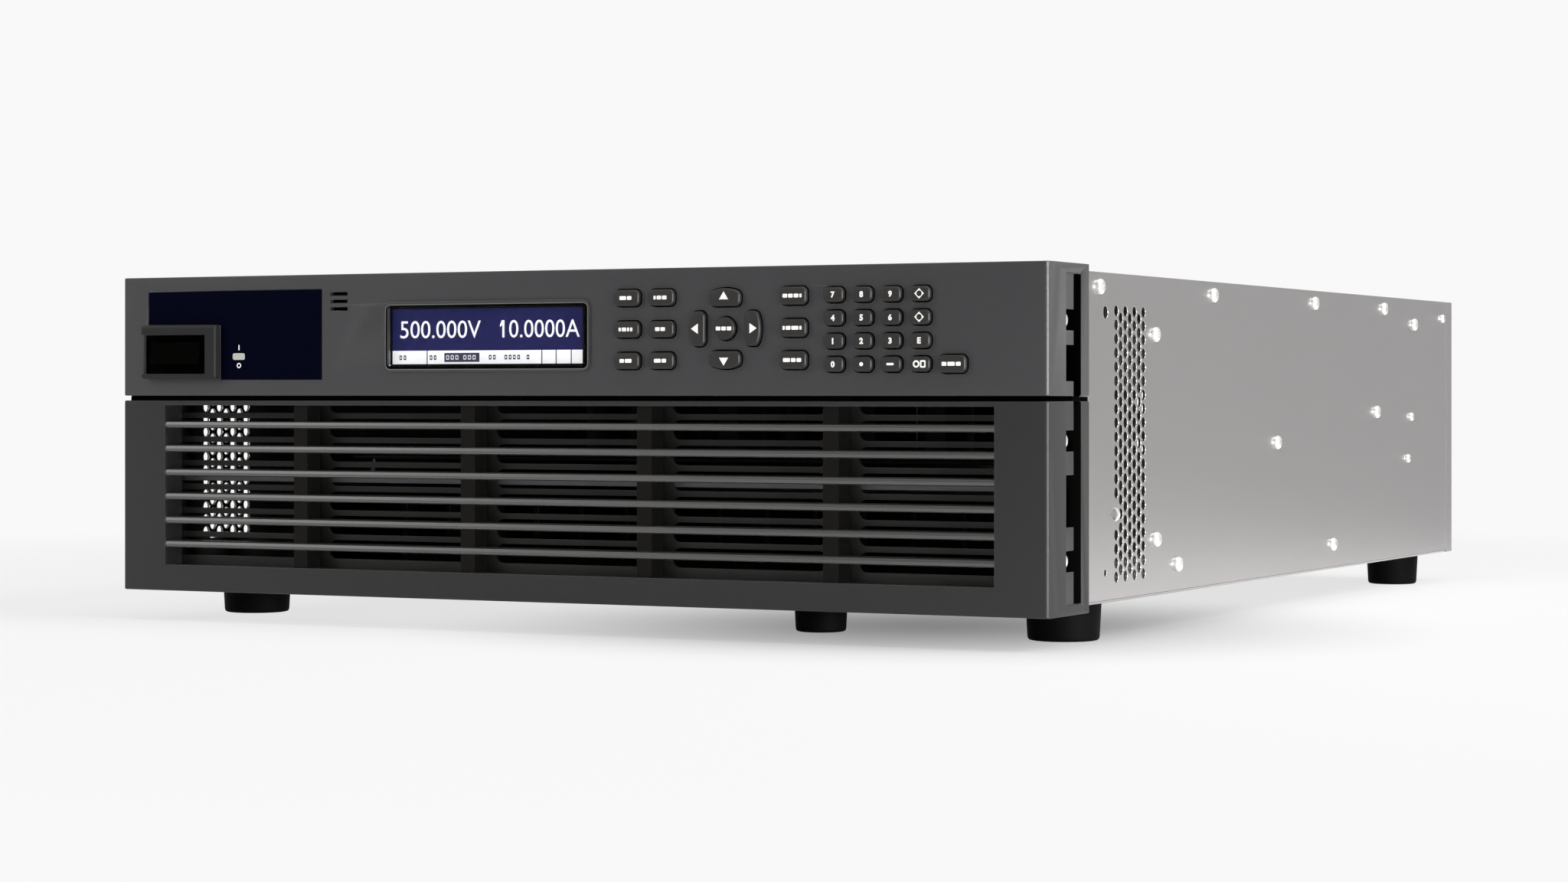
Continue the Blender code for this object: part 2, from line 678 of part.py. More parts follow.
def make_key(key):
    """One key: a crowned cap through the panel and a flange that holds it behind the panel."""
    sections = (
        (-KEY_PROUD, -KEY_CROWN),
        (-KEY_PROUD + KEY_CROWN, 0.0),
        (KEY_FLANGE_START, 0.0),
        (KEY_FLANGE_START, KEY_FLANGE),
        (KEY_BACK, KEY_FLANGE),
    )
    rings = [[Vector((a, y, b)) for a, b in key_outline(key, grow)] for y, grow in sections]
    add_piece(key["name"], loft(rings), "key_rubber", (key["x"], 0.0, key["z"]))


def board_extent():
    """Return the left, right, bottom and top of the keypad board."""
    right = ENTER_X + BOARD_RIGHT
    lowest = PAD_TOP_Z - 3 * PAD_PITCH_Z
    return BOARD_LEFT, right, lowest - BOARD_BELOW, PAD_TOP_Z + BOARD_ABOVE


def boss_places():
    """Return the places of the bosses that carry the keypad board."""
    left, right, low, high = board_extent()
    xs = (left + BOSS_INSET, right - BOSS_INSET)
    zs = (low + BOSS_INSET, high - BOSS_INSET)
    return [(x, z) for x in xs for z in zs]


def make_upper_bezel(keys):
    """Upper bezel: the control panel, with openings for switch, display and keys."""
    base = UPPER_BASE
    bezel = add_piece("upper_bezel", bezel_block(base, BEZEL_HEIGHT), "bezel_plastic")
    ceiling = BEZEL_HEIGHT - BEZEL_WALL
    combine(bezel, bezel_hollow(PANEL_WALL, base - OVERRUN, ceiling), "DIFFERENCE")
    channel_top = BEZEL_HEIGHT - CHANNEL_END_WALL
    channels = bezel_channels(base - OVERRUN, channel_top, base, channel_top)
    combine(bezel, channels, "DIFFERENCE")
    combine(bezel, ear_recesses(base - OVERRUN, channel_top + EAR_RECESS_MARGIN), "DIFFERENCE")
    rim_size = (WINDOW_WIDTH + 2 * RIM_WIDTH, WINDOW_HEIGHT + 2 * RIM_WIDTH)
    rim = rounded_rectangle((WINDOW_X, WINDOW_Z), rim_size, WINDOW_CORNER + RIM_WIDTH, 2)
    raised = [prism(rim, "Y", -RIM_PROUD, OVERRUN)]
    for place in boss_places():
        start = PANEL_WALL - OVERRUN
        raised.append(prism(circle(place, BOSS_RADIUS, BOSS_SIDES), "Y", start, BOARD_FRONT - SEAT))
    combine(bezel, together(*raised), "UNION")
    through = PANEL_WALL + OVERRUN
    window = rounded_rectangle((WINDOW_X, WINDOW_Z), (WINDOW_WIDTH, WINDOW_HEIGHT), WINDOW_CORNER, 2)
    cuts = [prism(window, "Y", -RIM_PROUD - OVERRUN, through)]
    for key in keys:
        hole = [(a + key["x"], b + key["z"]) for a, b in key_outline(key, SEAT)]
        cuts.append(prism(hole, "Y", -OVERRUN, through))
    for i in range(PORT_COUNT):
        middle = base + PORT_FIRST_RISE - i * PORT_PITCH
        cuts.append(port_cutter(middle, through))
    combine(bezel, together(*cuts), "DIFFERENCE")
    half_width = RECESS_WIDTH / 2 + SWITCH_WALL + SEAT
    half_height = RECESS_HEIGHT / 2 + SWITCH_WALL + SEAT
    barrel = box(
        SWITCH_X - half_width,
        SWITCH_X + half_width,
        -OVERRUN,
        through,
        SWITCH_Z - half_height,
        SWITCH_Z + half_height,
    )
    combine(bezel, barrel, "DIFFERENCE")
    recess = prism(plate_outline(SEAT), "Y", -OVERRUN, PLATE_THICKNESS + SEAT)
    combine(bezel, recess, "DIFFERENCE")


def port_cutter(middle, through):
    """Return the cutter of one small slot beside the label plate."""
    half = PORT_HEIGHT / 2
    return box(PORT_LEFT, PORT_LEFT + PORT_LENGTH, -OVERRUN, through, middle - half, middle + half)


def plate_outline(grow):
    """Return the label plate's outline: a rectangle with a corner left out for the switch."""
    left = -HALF_WIDTH + PLATE_LEFT
    right = PLATE_RIGHT + grow
    low = UPPER_BASE + PLATE_BASE - grow
    high = UPPER_BASE + PLATE_BASE + PLATE_HEIGHT + grow
    step_x = GUARD_X + GUARD_WIDTH + SEAT - grow
    step_z = GUARD_Z + GUARD_HEIGHT + SEAT - grow
    return [
        (step_x, low),
        (right, low),
        (right, high),
        (left - grow, high),
        (left - grow, step_z),
        (step_x, step_z),
    ]


def make_label_plate():
    """Thin plate let into the panel beside the power switch."""
    add_piece("label_plate", prism(plate_outline(0.0), "Y", 0.0, PLATE_THICKNESS), "label_navy")


def make_switch():
    """Power switch: a housing with a raised guard, and the rocker that turns in it."""
    sections = ((-GUARD_PROUD, GUARD_BEVEL), (-GUARD_PROUD + GUARD_BEVEL, 0.0), (-SEAT, 0.0))
    rings = [[Vector((a, y, b)) for a, b in guard_outline(inset)] for y, inset in sections]
    housing = add_piece("switch_housing", loft(rings), "bezel_plastic")
    half_width = RECESS_WIDTH / 2
    half_height = RECESS_HEIGHT / 2
    wall = SWITCH_WALL
    barrel = box(
        SWITCH_X - half_width - wall,
        SWITCH_X + half_width + wall,
        -BARREL_PROUD,
        SWITCH_REAR,
        SWITCH_Z - half_height - wall,
        SWITCH_Z + half_height + wall,
    )
    combine(housing, barrel, "UNION")
    recess = box(
        SWITCH_X - half_width,
        SWITCH_X + half_width,
        -BARREL_PROUD - OVERRUN,
        RECESS_FLOOR,
        SWITCH_Z - half_height,
        SWITCH_Z + half_height,
    )
    combine(housing, recess, "DIFFERENCE")
    pocket_half = ROCKER_WIDTH / 2 + SEAT
    pocket_height = ROCKER_BARREL + SEAT
    pocket = box(
        SWITCH_X - pocket_half,
        SWITCH_X + pocket_half,
        RECESS_FLOOR - OVERRUN,
        POCKET_FLOOR,
        SWITCH_Z - pocket_height,
        SWITCH_Z + pocket_height,
    )
    combine(housing, pocket, "DIFFERENCE")
    half = ROCKER_WIDTH / 2
    place = (SWITCH_X, ROCKER_PIVOT_DEPTH, SWITCH_Z)
    rocker = add_piece("power_rocker", prism(rocker_profile(), "X", -half, half), "switch_plastic", place)
    rocker.rotation_euler = (-ROCKER_TILT, 0.0, 0.0)


def guard_outline(inset):
    """Return the guard's outline: bars above and below the rocker and a wall at its right."""
    right = GUARD_X + GUARD_WIDTH
    low = GUARD_Z + inset
    high = GUARD_Z + GUARD_HEIGHT - inset
    recess_low = GUARD_Z + GUARD_BOTTOM_BAR
    recess_high = recess_low + RECESS_HEIGHT
    wall = GUARD_X + RECESS_WIDTH
    return [
        (GUARD_X, low),
        (right - inset, low),
        (right - inset, high),
        (GUARD_X, high),
        (GUARD_X, recess_high),
        (wall, recess_high),
        (wall, recess_low),
        (GUARD_X, recess_low),
    ]


def rocker_profile():
    """Return the rocker's section about its pivot: a barrel behind, a shallow V in front."""
    side = math.asin(ROCKER_NECK / ROCKER_BARREL)
    barrel = arc((0.0, 0.0), ROCKER_BARREL, -math.pi / 2 - side, math.pi / 2 + side, 8)
    tall = ROCKER_HALF_HEIGHT
    top = [(-ROCKER_NECK, tall), (-ROCKER_EDGE_REACH, tall)]
    bottom = [(-ROCKER_EDGE_REACH, -tall), (-ROCKER_NECK, -tall)]
    return barrel + top + [(-ROCKER_MIDDLE_REACH, 0.0)] + bottom


def make_display():
    """Display: the clear window in the panel and the module behind it."""
    size = (WINDOW_WIDTH - 2 * SEAT, WINDOW_HEIGHT - 2 * SEAT)
    pane = rounded_rectangle((WINDOW_X, WINDOW_Z), size, WINDOW_CORNER, 2)
    add_piece("display_window", prism(pane, "Y", WINDOW_SET_BACK, PANEL_WALL), "display_glass")
    half_width = WINDOW_WIDTH / 2 + MODULE_MARGIN_X
    half_height = WINDOW_HEIGHT / 2 + MODULE_MARGIN_Z
    start = PANEL_WALL + SEAT
    module = box(
        WINDOW_X - half_width,
        WINDOW_X + half_width,
        start,
        start + MODULE_DEPTH,
        WINDOW_Z - half_height,
        WINDOW_Z + half_height,
    )
    add_piece("display_module", module, "display_module")


def make_keypad_board():
    """Circuit board behind the keys, on the bosses of the upper bezel."""
    left, right, low, high = board_extent()
    board = box(left, right, BOARD_FRONT, BOARD_FRONT + BOARD_SHEET, low, high)
    add_piece("keypad_board", board, "circuit_board")


def make_side_panel(name, side, vent_start):
    """One side panel: a flat sheet with a staggered field of vent holes."""
    holes = []
    for column in range(VENT_COLUMNS):
        odd = column % 2
        y = CHASSIS_FRONT + vent_start + column * VENT_COLUMN_PITCH
        for row in range(VENT_ROWS - odd):
            z = CHASSIS_BASE + VENT_BASE + (row + odd / 2) * VENT_ROW_PITCH
            holes.append(circle((y, z), VENT_HOLE / 2, VENT_SIDES))
    outline = rectangle(CHASSIS_FRONT, REAR_FLANGE_START - SEAT, CHASSIS_BASE, CHASSIS_TOP)
    sheet = plate(outline, holes, "X", side * PANEL_INNER, side * PANEL_OUTER)
    add_piece(name, sheet, "chassis_steel")


def make_base_tray():
    """Base tray: the floor with a flange up each side."""
    wide = INSIDE_HALF
    inner = wide - TRAY_SHEET
    rim = CHASSIS_BASE + TRAY_FLANGE
    right = [(wide, CHASSIS_BASE), (wide, rim), (inner, rim), (inner, FLOOR_TOP)]
    left = [(-x, z) for x, z in reversed(right)]
    add_piece("base_tray", prism(right + left, "Y", CHASSIS_FRONT, SHEET_END), "zinc_sheet")


def make_top_cover():
    """Top cover: a sheet with a flange down each side and a joggled edge under the bezel's lip."""
    wide = INSIDE_HALF
    inner = wide - SHEET
    rim = CHASSIS_TOP - COVER_FLANGE
    right = [(wide, CHASSIS_TOP), (wide, rim), (inner, rim), (inner, COVER_UNDERSIDE)]
    left = [(-x, z) for x, z in reversed(right)]
    front = BEZEL_DEPTH + SEAT
    cover = add_piece("top_cover", prism(right + left, "Y", front, SHEET_END), "chassis_steel")
    edge_top = CHASSIS_TOP - COVER_JOGGLE
    edge = box(-wide, wide, CHASSIS_FRONT, front + OVERRUN, edge_top - SHEET, edge_top)
    combine(cover, edge, "UNION")


def fan_guard_slots(centre):
    """Return upright slots that follow a fan's round bore."""
    radius = FAN_BORE
    count = int(2 * radius / GUARD_SLOT_PITCH)
    slots = []
    for i in range(count):
        offset = (i - (count - 1) / 2) * GUARD_SLOT_PITCH
        edge = abs(offset) + GUARD_SLOT_WIDTH / 2
        half = math.sqrt(max(radius * radius - edge * edge, 0.0))
        middle = centre + offset
        half_slot = GUARD_SLOT_WIDTH / 2
        slots.append(rectangle(middle - half_slot, middle + half_slot, FAN_Z - half, FAN_Z + half))
    return slots


def make_rear_panel():
    """Rear panel: air slots for the fans, cut-outs for inlet and output bars, a flange down each side."""
    holes = []
    for centre in FAN_CENTRES:
        holes += fan_guard_slots(centre)
    inlet_size = (INLET_WIDTH + 2 * SEAT, INLET_HEIGHT + 2 * SEAT)
    holes.append(rounded_rectangle((INLET_X, INLET_Z), inlet_size, INLET_CORNER))
    half_width = OUTPUT_BAR_WIDTH / 2 + SEAT
    half_height = OUTPUT_BAR_HEIGHT / 2 + SEAT
    for x in output_places():
        holes.append(rectangle(x - half_width, x + half_width, OUTPUT_Z - half_height, OUTPUT_Z + half_height))
    outline = rectangle(-PANEL_OUTER, PANEL_OUTER, CHASSIS_BASE, CHASSIS_TOP)
    sheet = plate(outline, holes, "Y", REAR_SHEET_FRONT, CHASSIS_REAR)
    panel = add_piece("rear_panel", sheet, "chassis_steel")
    end = REAR_SHEET_FRONT + TRAY_SHEET / 2
    flanges = []
    for near, far in ((PANEL_INNER, PANEL_OUTER), (-PANEL_OUTER, -PANEL_INNER)):
        flanges.append(box(near, far, REAR_FLANGE_START, end, CHASSIS_BASE, CHASSIS_TOP))
    combine(panel, together(*flanges), "UNION")


def output_places():
    """Return the X of the positive and the negative output bar."""
    return (OUTPUT_X, OUTPUT_X - OUTPUT_PITCH)


def make_output_bars():
    """Two flat output bars through the rear panel, each with a shoulder and a bolt hole outside."""
    half_width = OUTPUT_BAR_WIDTH / 2
    half_lug = half_width + OUTPUT_SHOULDER
    start = CHASSIS_REAR - OUTPUT_INSIDE
    shoulder = CHASSIS_REAR + SEAT
    end = CHASSIS_REAR + OUTPUT_OUTSIDE
    low = OUTPUT_Z - OUTPUT_BAR_HEIGHT / 2
    high = OUTPUT_Z + OUTPUT_BAR_HEIGHT / 2
    hole = circle((CHASSIS_REAR + OUTPUT_OUTSIDE / 2, OUTPUT_Z), OUTPUT_HOLE, OUTPUT_HOLE_SIDES)
    for name, x in zip(("positive", "negative"), output_places()):
        outline = rectangle(shoulder, end, low, high)
        lug = plate(outline, [hole], "X", x - half_lug, x + half_lug)
        bar = add_piece(f"output_bar_{name}", lug, "plated_copper")
        shank = box(x - half_width, x + half_width, start, shoulder + OVERRUN, low, high)
        combine(bar, shank, "UNION")


def make_mains_inlet():
    """Mains inlet: a socket body with a flange outside and three flat pins in its cavity."""
    centre = (INLET_X, INLET_Z)
    body_size = (INLET_WIDTH, INLET_HEIGHT)
    rear = CHASSIS_REAR + SEAT + INLET_FLANGE_THICKNESS
    body = prism(
        rounded_rectangle(centre, body_size, INLET_CORNER),
        "Y",
        CHASSIS_REAR - INLET_BODY,
        rear - INLET_FLANGE_THICKNESS / 2,
    )
    inlet = add_piece("mains_inlet", body, "inlet_plastic")
    flange_size = (INLET_WIDTH + 2 * INLET_FLANGE, INLET_HEIGHT + 2 * INLET_FLANGE)
    flange = prism(rounded_rectangle(centre, flange_size, INLET_CORNER, 2), "Y", CHASSIS_REAR + SEAT, rear)
    combine(inlet, flange, "UNION")
    floor = rear - INLET_CAVITY
    cavity_size = (INLET_WIDTH - 2 * INLET_WALL, INLET_HEIGHT - 2 * INLET_WALL)
    corner = INLET_CORNER - INLET_WALL / 2
    cavity = prism(rounded_rectangle(centre, cavity_size, corner), "Y", floor, rear + OVERRUN)
    combine(inlet, cavity, "DIFFERENCE")
    pins = []
    half = BLADE_PIN_WIDTH / 2
    for step in (-1, 0, 1):
        x = INLET_X + step * BLADE_PIN_PITCH / 2
        low = INLET_Z - BLADE_PIN_DROP - BLADE_PIN_HEIGHT / 2
        pins.append(
            box(x - half, x + half, floor - OVERRUN, floor + BLADE_PIN_LENGTH, low, low + BLADE_PIN_HEIGHT)
        )
    combine(inlet, together(*pins), "UNION")


def make_fan(name, centre):
    """One fan: a square frame with a hub on struts, and the rotor in front of that hub."""
    half = FAN_SIZE / 2
    frame_outline = rounded_rectangle((0.0, 0.0), (FAN_SIZE, FAN_SIZE), FAN_CORNER, 2)
    bore = circle((0.0, 0.0), FAN_BORE, FAN_SIDES)
    place = (centre, FAN_REAR, FAN_Z)
    frame = add_piece(f"{name}_frame", plate(frame_outline, [bore], "Y", -FAN_DEPTH, 0.0), "fan_plastic", place)
    spider = prism(circle((0.0, 0.0), FAN_HUB, HUB_SIDES), "Y", -STRUT_DEPTH, 0.0)
    struts = []
    for i in range(STRUT_COUNT):
        turn = math.pi / 4 + i * math.tau / STRUT_COUNT
        along = Vector((math.cos(turn), math.sin(turn)))
        across = Vector((-along.y, along.x)) * STRUT_WIDTH / 2
        start = along * (FAN_HUB - OVERRUN)
        end = along * (FAN_BORE + OVERRUN)
        outline = [start - across, end - across, end + across, start + across]
        struts.append(prism(outline, "Y", -STRUT_DEPTH * 0.9, -STRUT_DEPTH * 0.1))
    combine_shifted(frame, together(*struts), place)
    combine_shifted(frame, spider, place)
    make_rotor(f"{name}_rotor", (centre, ROTOR_REAR, FAN_Z), half)


def combine_shifted(piece, shape, place):
    """Fuse a solid that is drawn about the piece's own origin to the piece."""
    bmesh.ops.translate(shape, verts=shape.verts[:], vec=Vector(place))
    combine(piece, shape, "UNION")


def make_rotor(name, place, half):
    """Fan rotor: a cup-shaped hub with pitched blades, turning about Y."""
    hub = prism(circle((0.0, 0.0), FAN_HUB, HUB_SIDES), "Y", -ROTOR_DEPTH, 0.0)
    rotor = add_piece(name, hub, "fan_plastic", place)
    tip = half - FAN_RIM - BLADE_TIP_GAP
    blades = []
    for i in range(BLADE_COUNT):
        blades.append(blade(i * math.tau / BLADE_COUNT, tip))
    combine_shifted(rotor, together(*blades), place)


def blade(turn, tip):
    """Return one twisted blade from inside the hub to its tip."""
    rings = []
    middle = -ROTOR_DEPTH / 2
    for radius, pitch in ((FAN_HUB * 0.8, BLADE_ROOT_PITCH), (tip, BLADE_TIP_PITCH)):
        along = Vector((math.cos(turn), 0.0, math.sin(turn)))
        chord = Vector((-math.sin(turn) * math.cos(pitch), math.sin(pitch), math.cos(turn) * math.cos(pitch)))
        normal = along.cross(chord)
        centre = along * radius + Vector((0.0, middle, 0.0))
        corners = ((-1, -1), (1, -1), (1, 1), (-1, 1))
        half_chord = BLADE_CHORD / 2
        half_thick = BLADE_THICKNESS / 2
        rings.append([centre + chord * (a * half_chord) + normal * (b * half_thick) for a, b in corners])
    return loft(rings)


def make_feet():
    """Five rubber feet under the base tray: one at each corner and one between the front pair."""
    side = PANEL_OUTER - FOOT_SIDE_INSET
    front = CHASSIS_FRONT + FOOT_FRONT
    rear = CHASSIS_REAR - FOOT_REAR
    make_foot("foot_front_left", -side, front, FOOT_RADIUS)
    make_foot("foot_front_right", side, front, FOOT_RADIUS)
    make_foot("foot_front_middle", MIDDLE_FOOT_X, front, MIDDLE_FOOT_RADIUS)
    make_foot("foot_rear_left", -side, rear, REAR_FOOT_RADIUS)
    make_foot("foot_rear_right", side, rear, REAR_FOOT_RADIUS)


def make_foot(name, x, y, radius):
    """One round foot, slightly tapered, with a rounded lower edge."""
    height = FOOT_DROP + BEZEL_WALL
    low = radius - FOOT_TAPER
    sections = ((0.0, low - FOOT_EDGE), (FOOT_EDGE, low), (height, radius))
    rings = []
    for z, ring_radius in sections:
        rings.append([Vector((a, b, z)) for a, b in circle((0.0, 0.0), ring_radius, FOOT_SIDES)])
    add_piece(name, loft(rings), "foot_rubber", (x, y, -FOOT_DROP))


def make_shelf():
    """Sheet shelf across the inside, with a lip up its front edge against the front sheet."""
    half = COLUMN_INNER - SEAT
    lip = SHELF_START + SHEET
    end = SHELF_START + SHELF_DEPTH
    top = SHELF_Z + SHEET
    profile = [
        (SHELF_START, SHELF_Z),
        (end, SHELF_Z),
        (end, top),
        (lip, top),
        (lip, SHELF_Z + SHELF_LIP),
        (SHELF_START, SHELF_Z + SHELF_LIP),
    ]
    add_piece("mid_shelf", prism(profile, "X", -half, half), "zinc_sheet")


def make_power_board():
    """Power board on the shelf, with its stand-offs, capacitors and wound parts soldered on."""
    half = BOARD_WIDTH / 2
    end = BOARD_START + BOARD_DEPTH
    foot = SHELF_Z + SHEET + SEAT
    base = foot + STANDOFF
    top = base + BOARD_SHEET
    board = add_piece("power_board", box(-half, half, BOARD_START, end, base, top), "circuit_board")
    standoffs = []
    for x in (-half + STANDOFF, half - STANDOFF):
        for y in (BOARD_START + STANDOFF, end - STANDOFF):
            post = circle((x, y), STANDOFF / 2, BOSS_SIDES)
            standoffs.append(prism(post, "Z", foot, base + BOARD_SHEET / 2))
    combine(board, together(*standoffs), "UNION")
    parts = []
    start = base + BOARD_SHEET / 2
    row_y = BOARD_START + 2 * CAPACITOR_PITCH
    for i in range(CAPACITOR_COUNT):
        x = (i - (CAPACITOR_COUNT - 1) / 2) * CAPACITOR_PITCH
        can = circle((x, row_y), CAPACITOR_RADIUS, BOSS_SIDES)
        parts.append(prism(can, "Z", start, top + CAPACITOR_HEIGHT))
    width, depth, height = CHOKE_SIZE
    for i in range(CHOKE_COUNT):
        x = (i - (CHOKE_COUNT - 1) / 2) * CHOKE_PITCH
        y = end - depth
        parts.append(box(x - width / 2, x + width / 2, y - depth / 2, y + depth / 2, start, top + height))
    combine(board, together(*parts), "UNION")


def make_heatsink():
    """Finned heatsink on the base tray, under the shelf."""
    base = FLOOR_TOP + SEAT
    half = SINK_WIDTH / 2
    shoulder = base + SINK_BASE
    crown = shoulder + SINK_FIN_HEIGHT
    pitch = (SINK_WIDTH - SINK_FIN) / (SINK_FIN_COUNT - 1)
    profile = [(-half, base), (half, base)]
    for i in range(SINK_FIN_COUNT):
        right = half - i * pitch
        left = right - SINK_FIN
        if i > 0:
            profile.append((right, shoulder))
        profile += [(right, crown), (left, crown)]
        if i < SINK_FIN_COUNT - 1:
            profile.append((left, shoulder))
    sink = prism(profile, "Y", SINK_START, SINK_START + SINK_DEPTH)
    add_piece("heatsink", sink, "heatsink_aluminium")


def clear_scene():
    """Remove what the scene holds and add the empty that carries the part."""
    for item in list(bpy.data.objects):
        bpy.data.objects.remove(item)
    assembly = bpy.data.objects.new("assembly", None)
    assembly.location = (0.0, ASSEMBLY_Y, FOOT_DROP)
    bpy.context.scene.collection.objects.link(assembly)


def main():
    """Build every piece of the power supply."""
    clear_scene()
    keys = list_keys()
    make_upper_bezel(keys)
    make_lower_bezel()
    make_front_sheet()
    make_label_plate()
    make_switch()
    make_display()
    make_keypad_board()
    for key in keys:
        make_key(key)
    make_base_tray()
    make_side_panel("left_side_panel", -1, VENT_START_LEFT)
    make_side_panel("right_side_panel", 1, VENT_START_RIGHT)
    make_top_cover()
    make_rear_panel()
    make_feet()
    make_shelf()
    make_power_board()
    make_heatsink()
    make_mains_inlet()
    make_output_bars()
    for name, centre in zip(("right_fan", "left_fan"), FAN_CENTRES):
        make_fan(name, centre)


main()
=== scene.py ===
"""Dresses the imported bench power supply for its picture.

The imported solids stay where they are. Each class below takes one group of them, gives it its finish
and adds what the solids leave out: softened edges, round vent holes, printed marks, screws, the lit
display and the studio around it. Lengths are metres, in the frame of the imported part.
"""

from __future__ import annotations

import json
import logging
import math
from dataclasses import dataclass, field
from enum import Enum
from typing import Callable, Iterable, Sequence

import bmesh
import bpy
from mathutils import Matrix, Vector

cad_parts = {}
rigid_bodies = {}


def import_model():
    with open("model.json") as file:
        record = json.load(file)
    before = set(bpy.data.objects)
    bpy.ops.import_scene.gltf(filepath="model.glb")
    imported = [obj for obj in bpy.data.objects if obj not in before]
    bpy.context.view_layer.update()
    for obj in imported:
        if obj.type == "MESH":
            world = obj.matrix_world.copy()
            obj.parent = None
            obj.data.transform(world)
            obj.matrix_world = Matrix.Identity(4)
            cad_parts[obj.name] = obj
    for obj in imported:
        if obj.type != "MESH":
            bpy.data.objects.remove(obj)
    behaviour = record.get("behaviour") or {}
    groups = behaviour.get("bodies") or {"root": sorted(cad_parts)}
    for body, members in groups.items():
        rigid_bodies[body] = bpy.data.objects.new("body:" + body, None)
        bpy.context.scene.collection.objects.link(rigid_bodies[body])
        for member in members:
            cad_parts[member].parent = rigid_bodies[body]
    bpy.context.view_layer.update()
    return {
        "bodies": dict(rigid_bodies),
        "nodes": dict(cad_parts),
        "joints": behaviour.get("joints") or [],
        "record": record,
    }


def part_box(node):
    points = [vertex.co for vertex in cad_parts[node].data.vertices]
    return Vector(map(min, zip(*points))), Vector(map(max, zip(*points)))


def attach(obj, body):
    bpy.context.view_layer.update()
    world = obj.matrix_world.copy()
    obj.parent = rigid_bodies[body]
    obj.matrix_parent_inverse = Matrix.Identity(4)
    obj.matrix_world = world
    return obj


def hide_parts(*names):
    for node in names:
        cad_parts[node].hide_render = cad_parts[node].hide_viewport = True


LOG = logging.getLogger("power_supply")

MM = 0.001
WELD = 0.000002
LETTER_WELD = 0.000001
LETTER_STEPS = 4
PRINT_DEPTH = 0.03 * MM
SOFT_ANGLE = math.radians(32.0)
FLAT_ANGLE = math.radians(1.0)
STEEP_SHARE = 0.7
ROOM_SHARE = 0.42
FACING = 0.5
SQUARE_ON = 0.9
BUMP_STRENGTH = 0.6
NUMBER = "NodeSocketFloat"
COLOUR = "NodeSocketColor"
ROOT = "chassis"

Point = tuple[float, float]
Outline = list[Point]
Colour = tuple[int, int, int]


def linear(colour: Colour) -> tuple[float, float, float, float]:
    """Turn a screen colour into the linear colour that shaders take.

    Args:
        colour: Red, green and blue from 0 to 255.

    Returns:
        Linear red, green, blue and an alpha of 1.
    """
    values = []
    for part in colour:
        share = part / 255.0
        values.append(share / 12.92 if share <= 0.04045 else ((share + 0.055) / 1.055) ** 2.4)
    return values[0], values[1], values[2], 1.0


def grey(shade: float) -> tuple[float, float, float, float]:
    """Return a linear grey with an alpha of 1."""
    return shade, shade, shade, 1.0


class Axis(Enum):
    """The axis that an outline is extruded along."""

    X = 0
    Y = 1
    Z = 2

    def point(self, a: float, b: float, along: float) -> Vector:
        """Place an outline point.

        Args:
            a: First outline coordinate.
            b: Second outline coordinate.
            along: Distance along this axis.

        Returns:
            The point in space.
        """
        if self is Axis.X:
            return Vector((along, a, b))
        if self is Axis.Y:
            return Vector((a, along, b))
        return Vector((a, b, along))


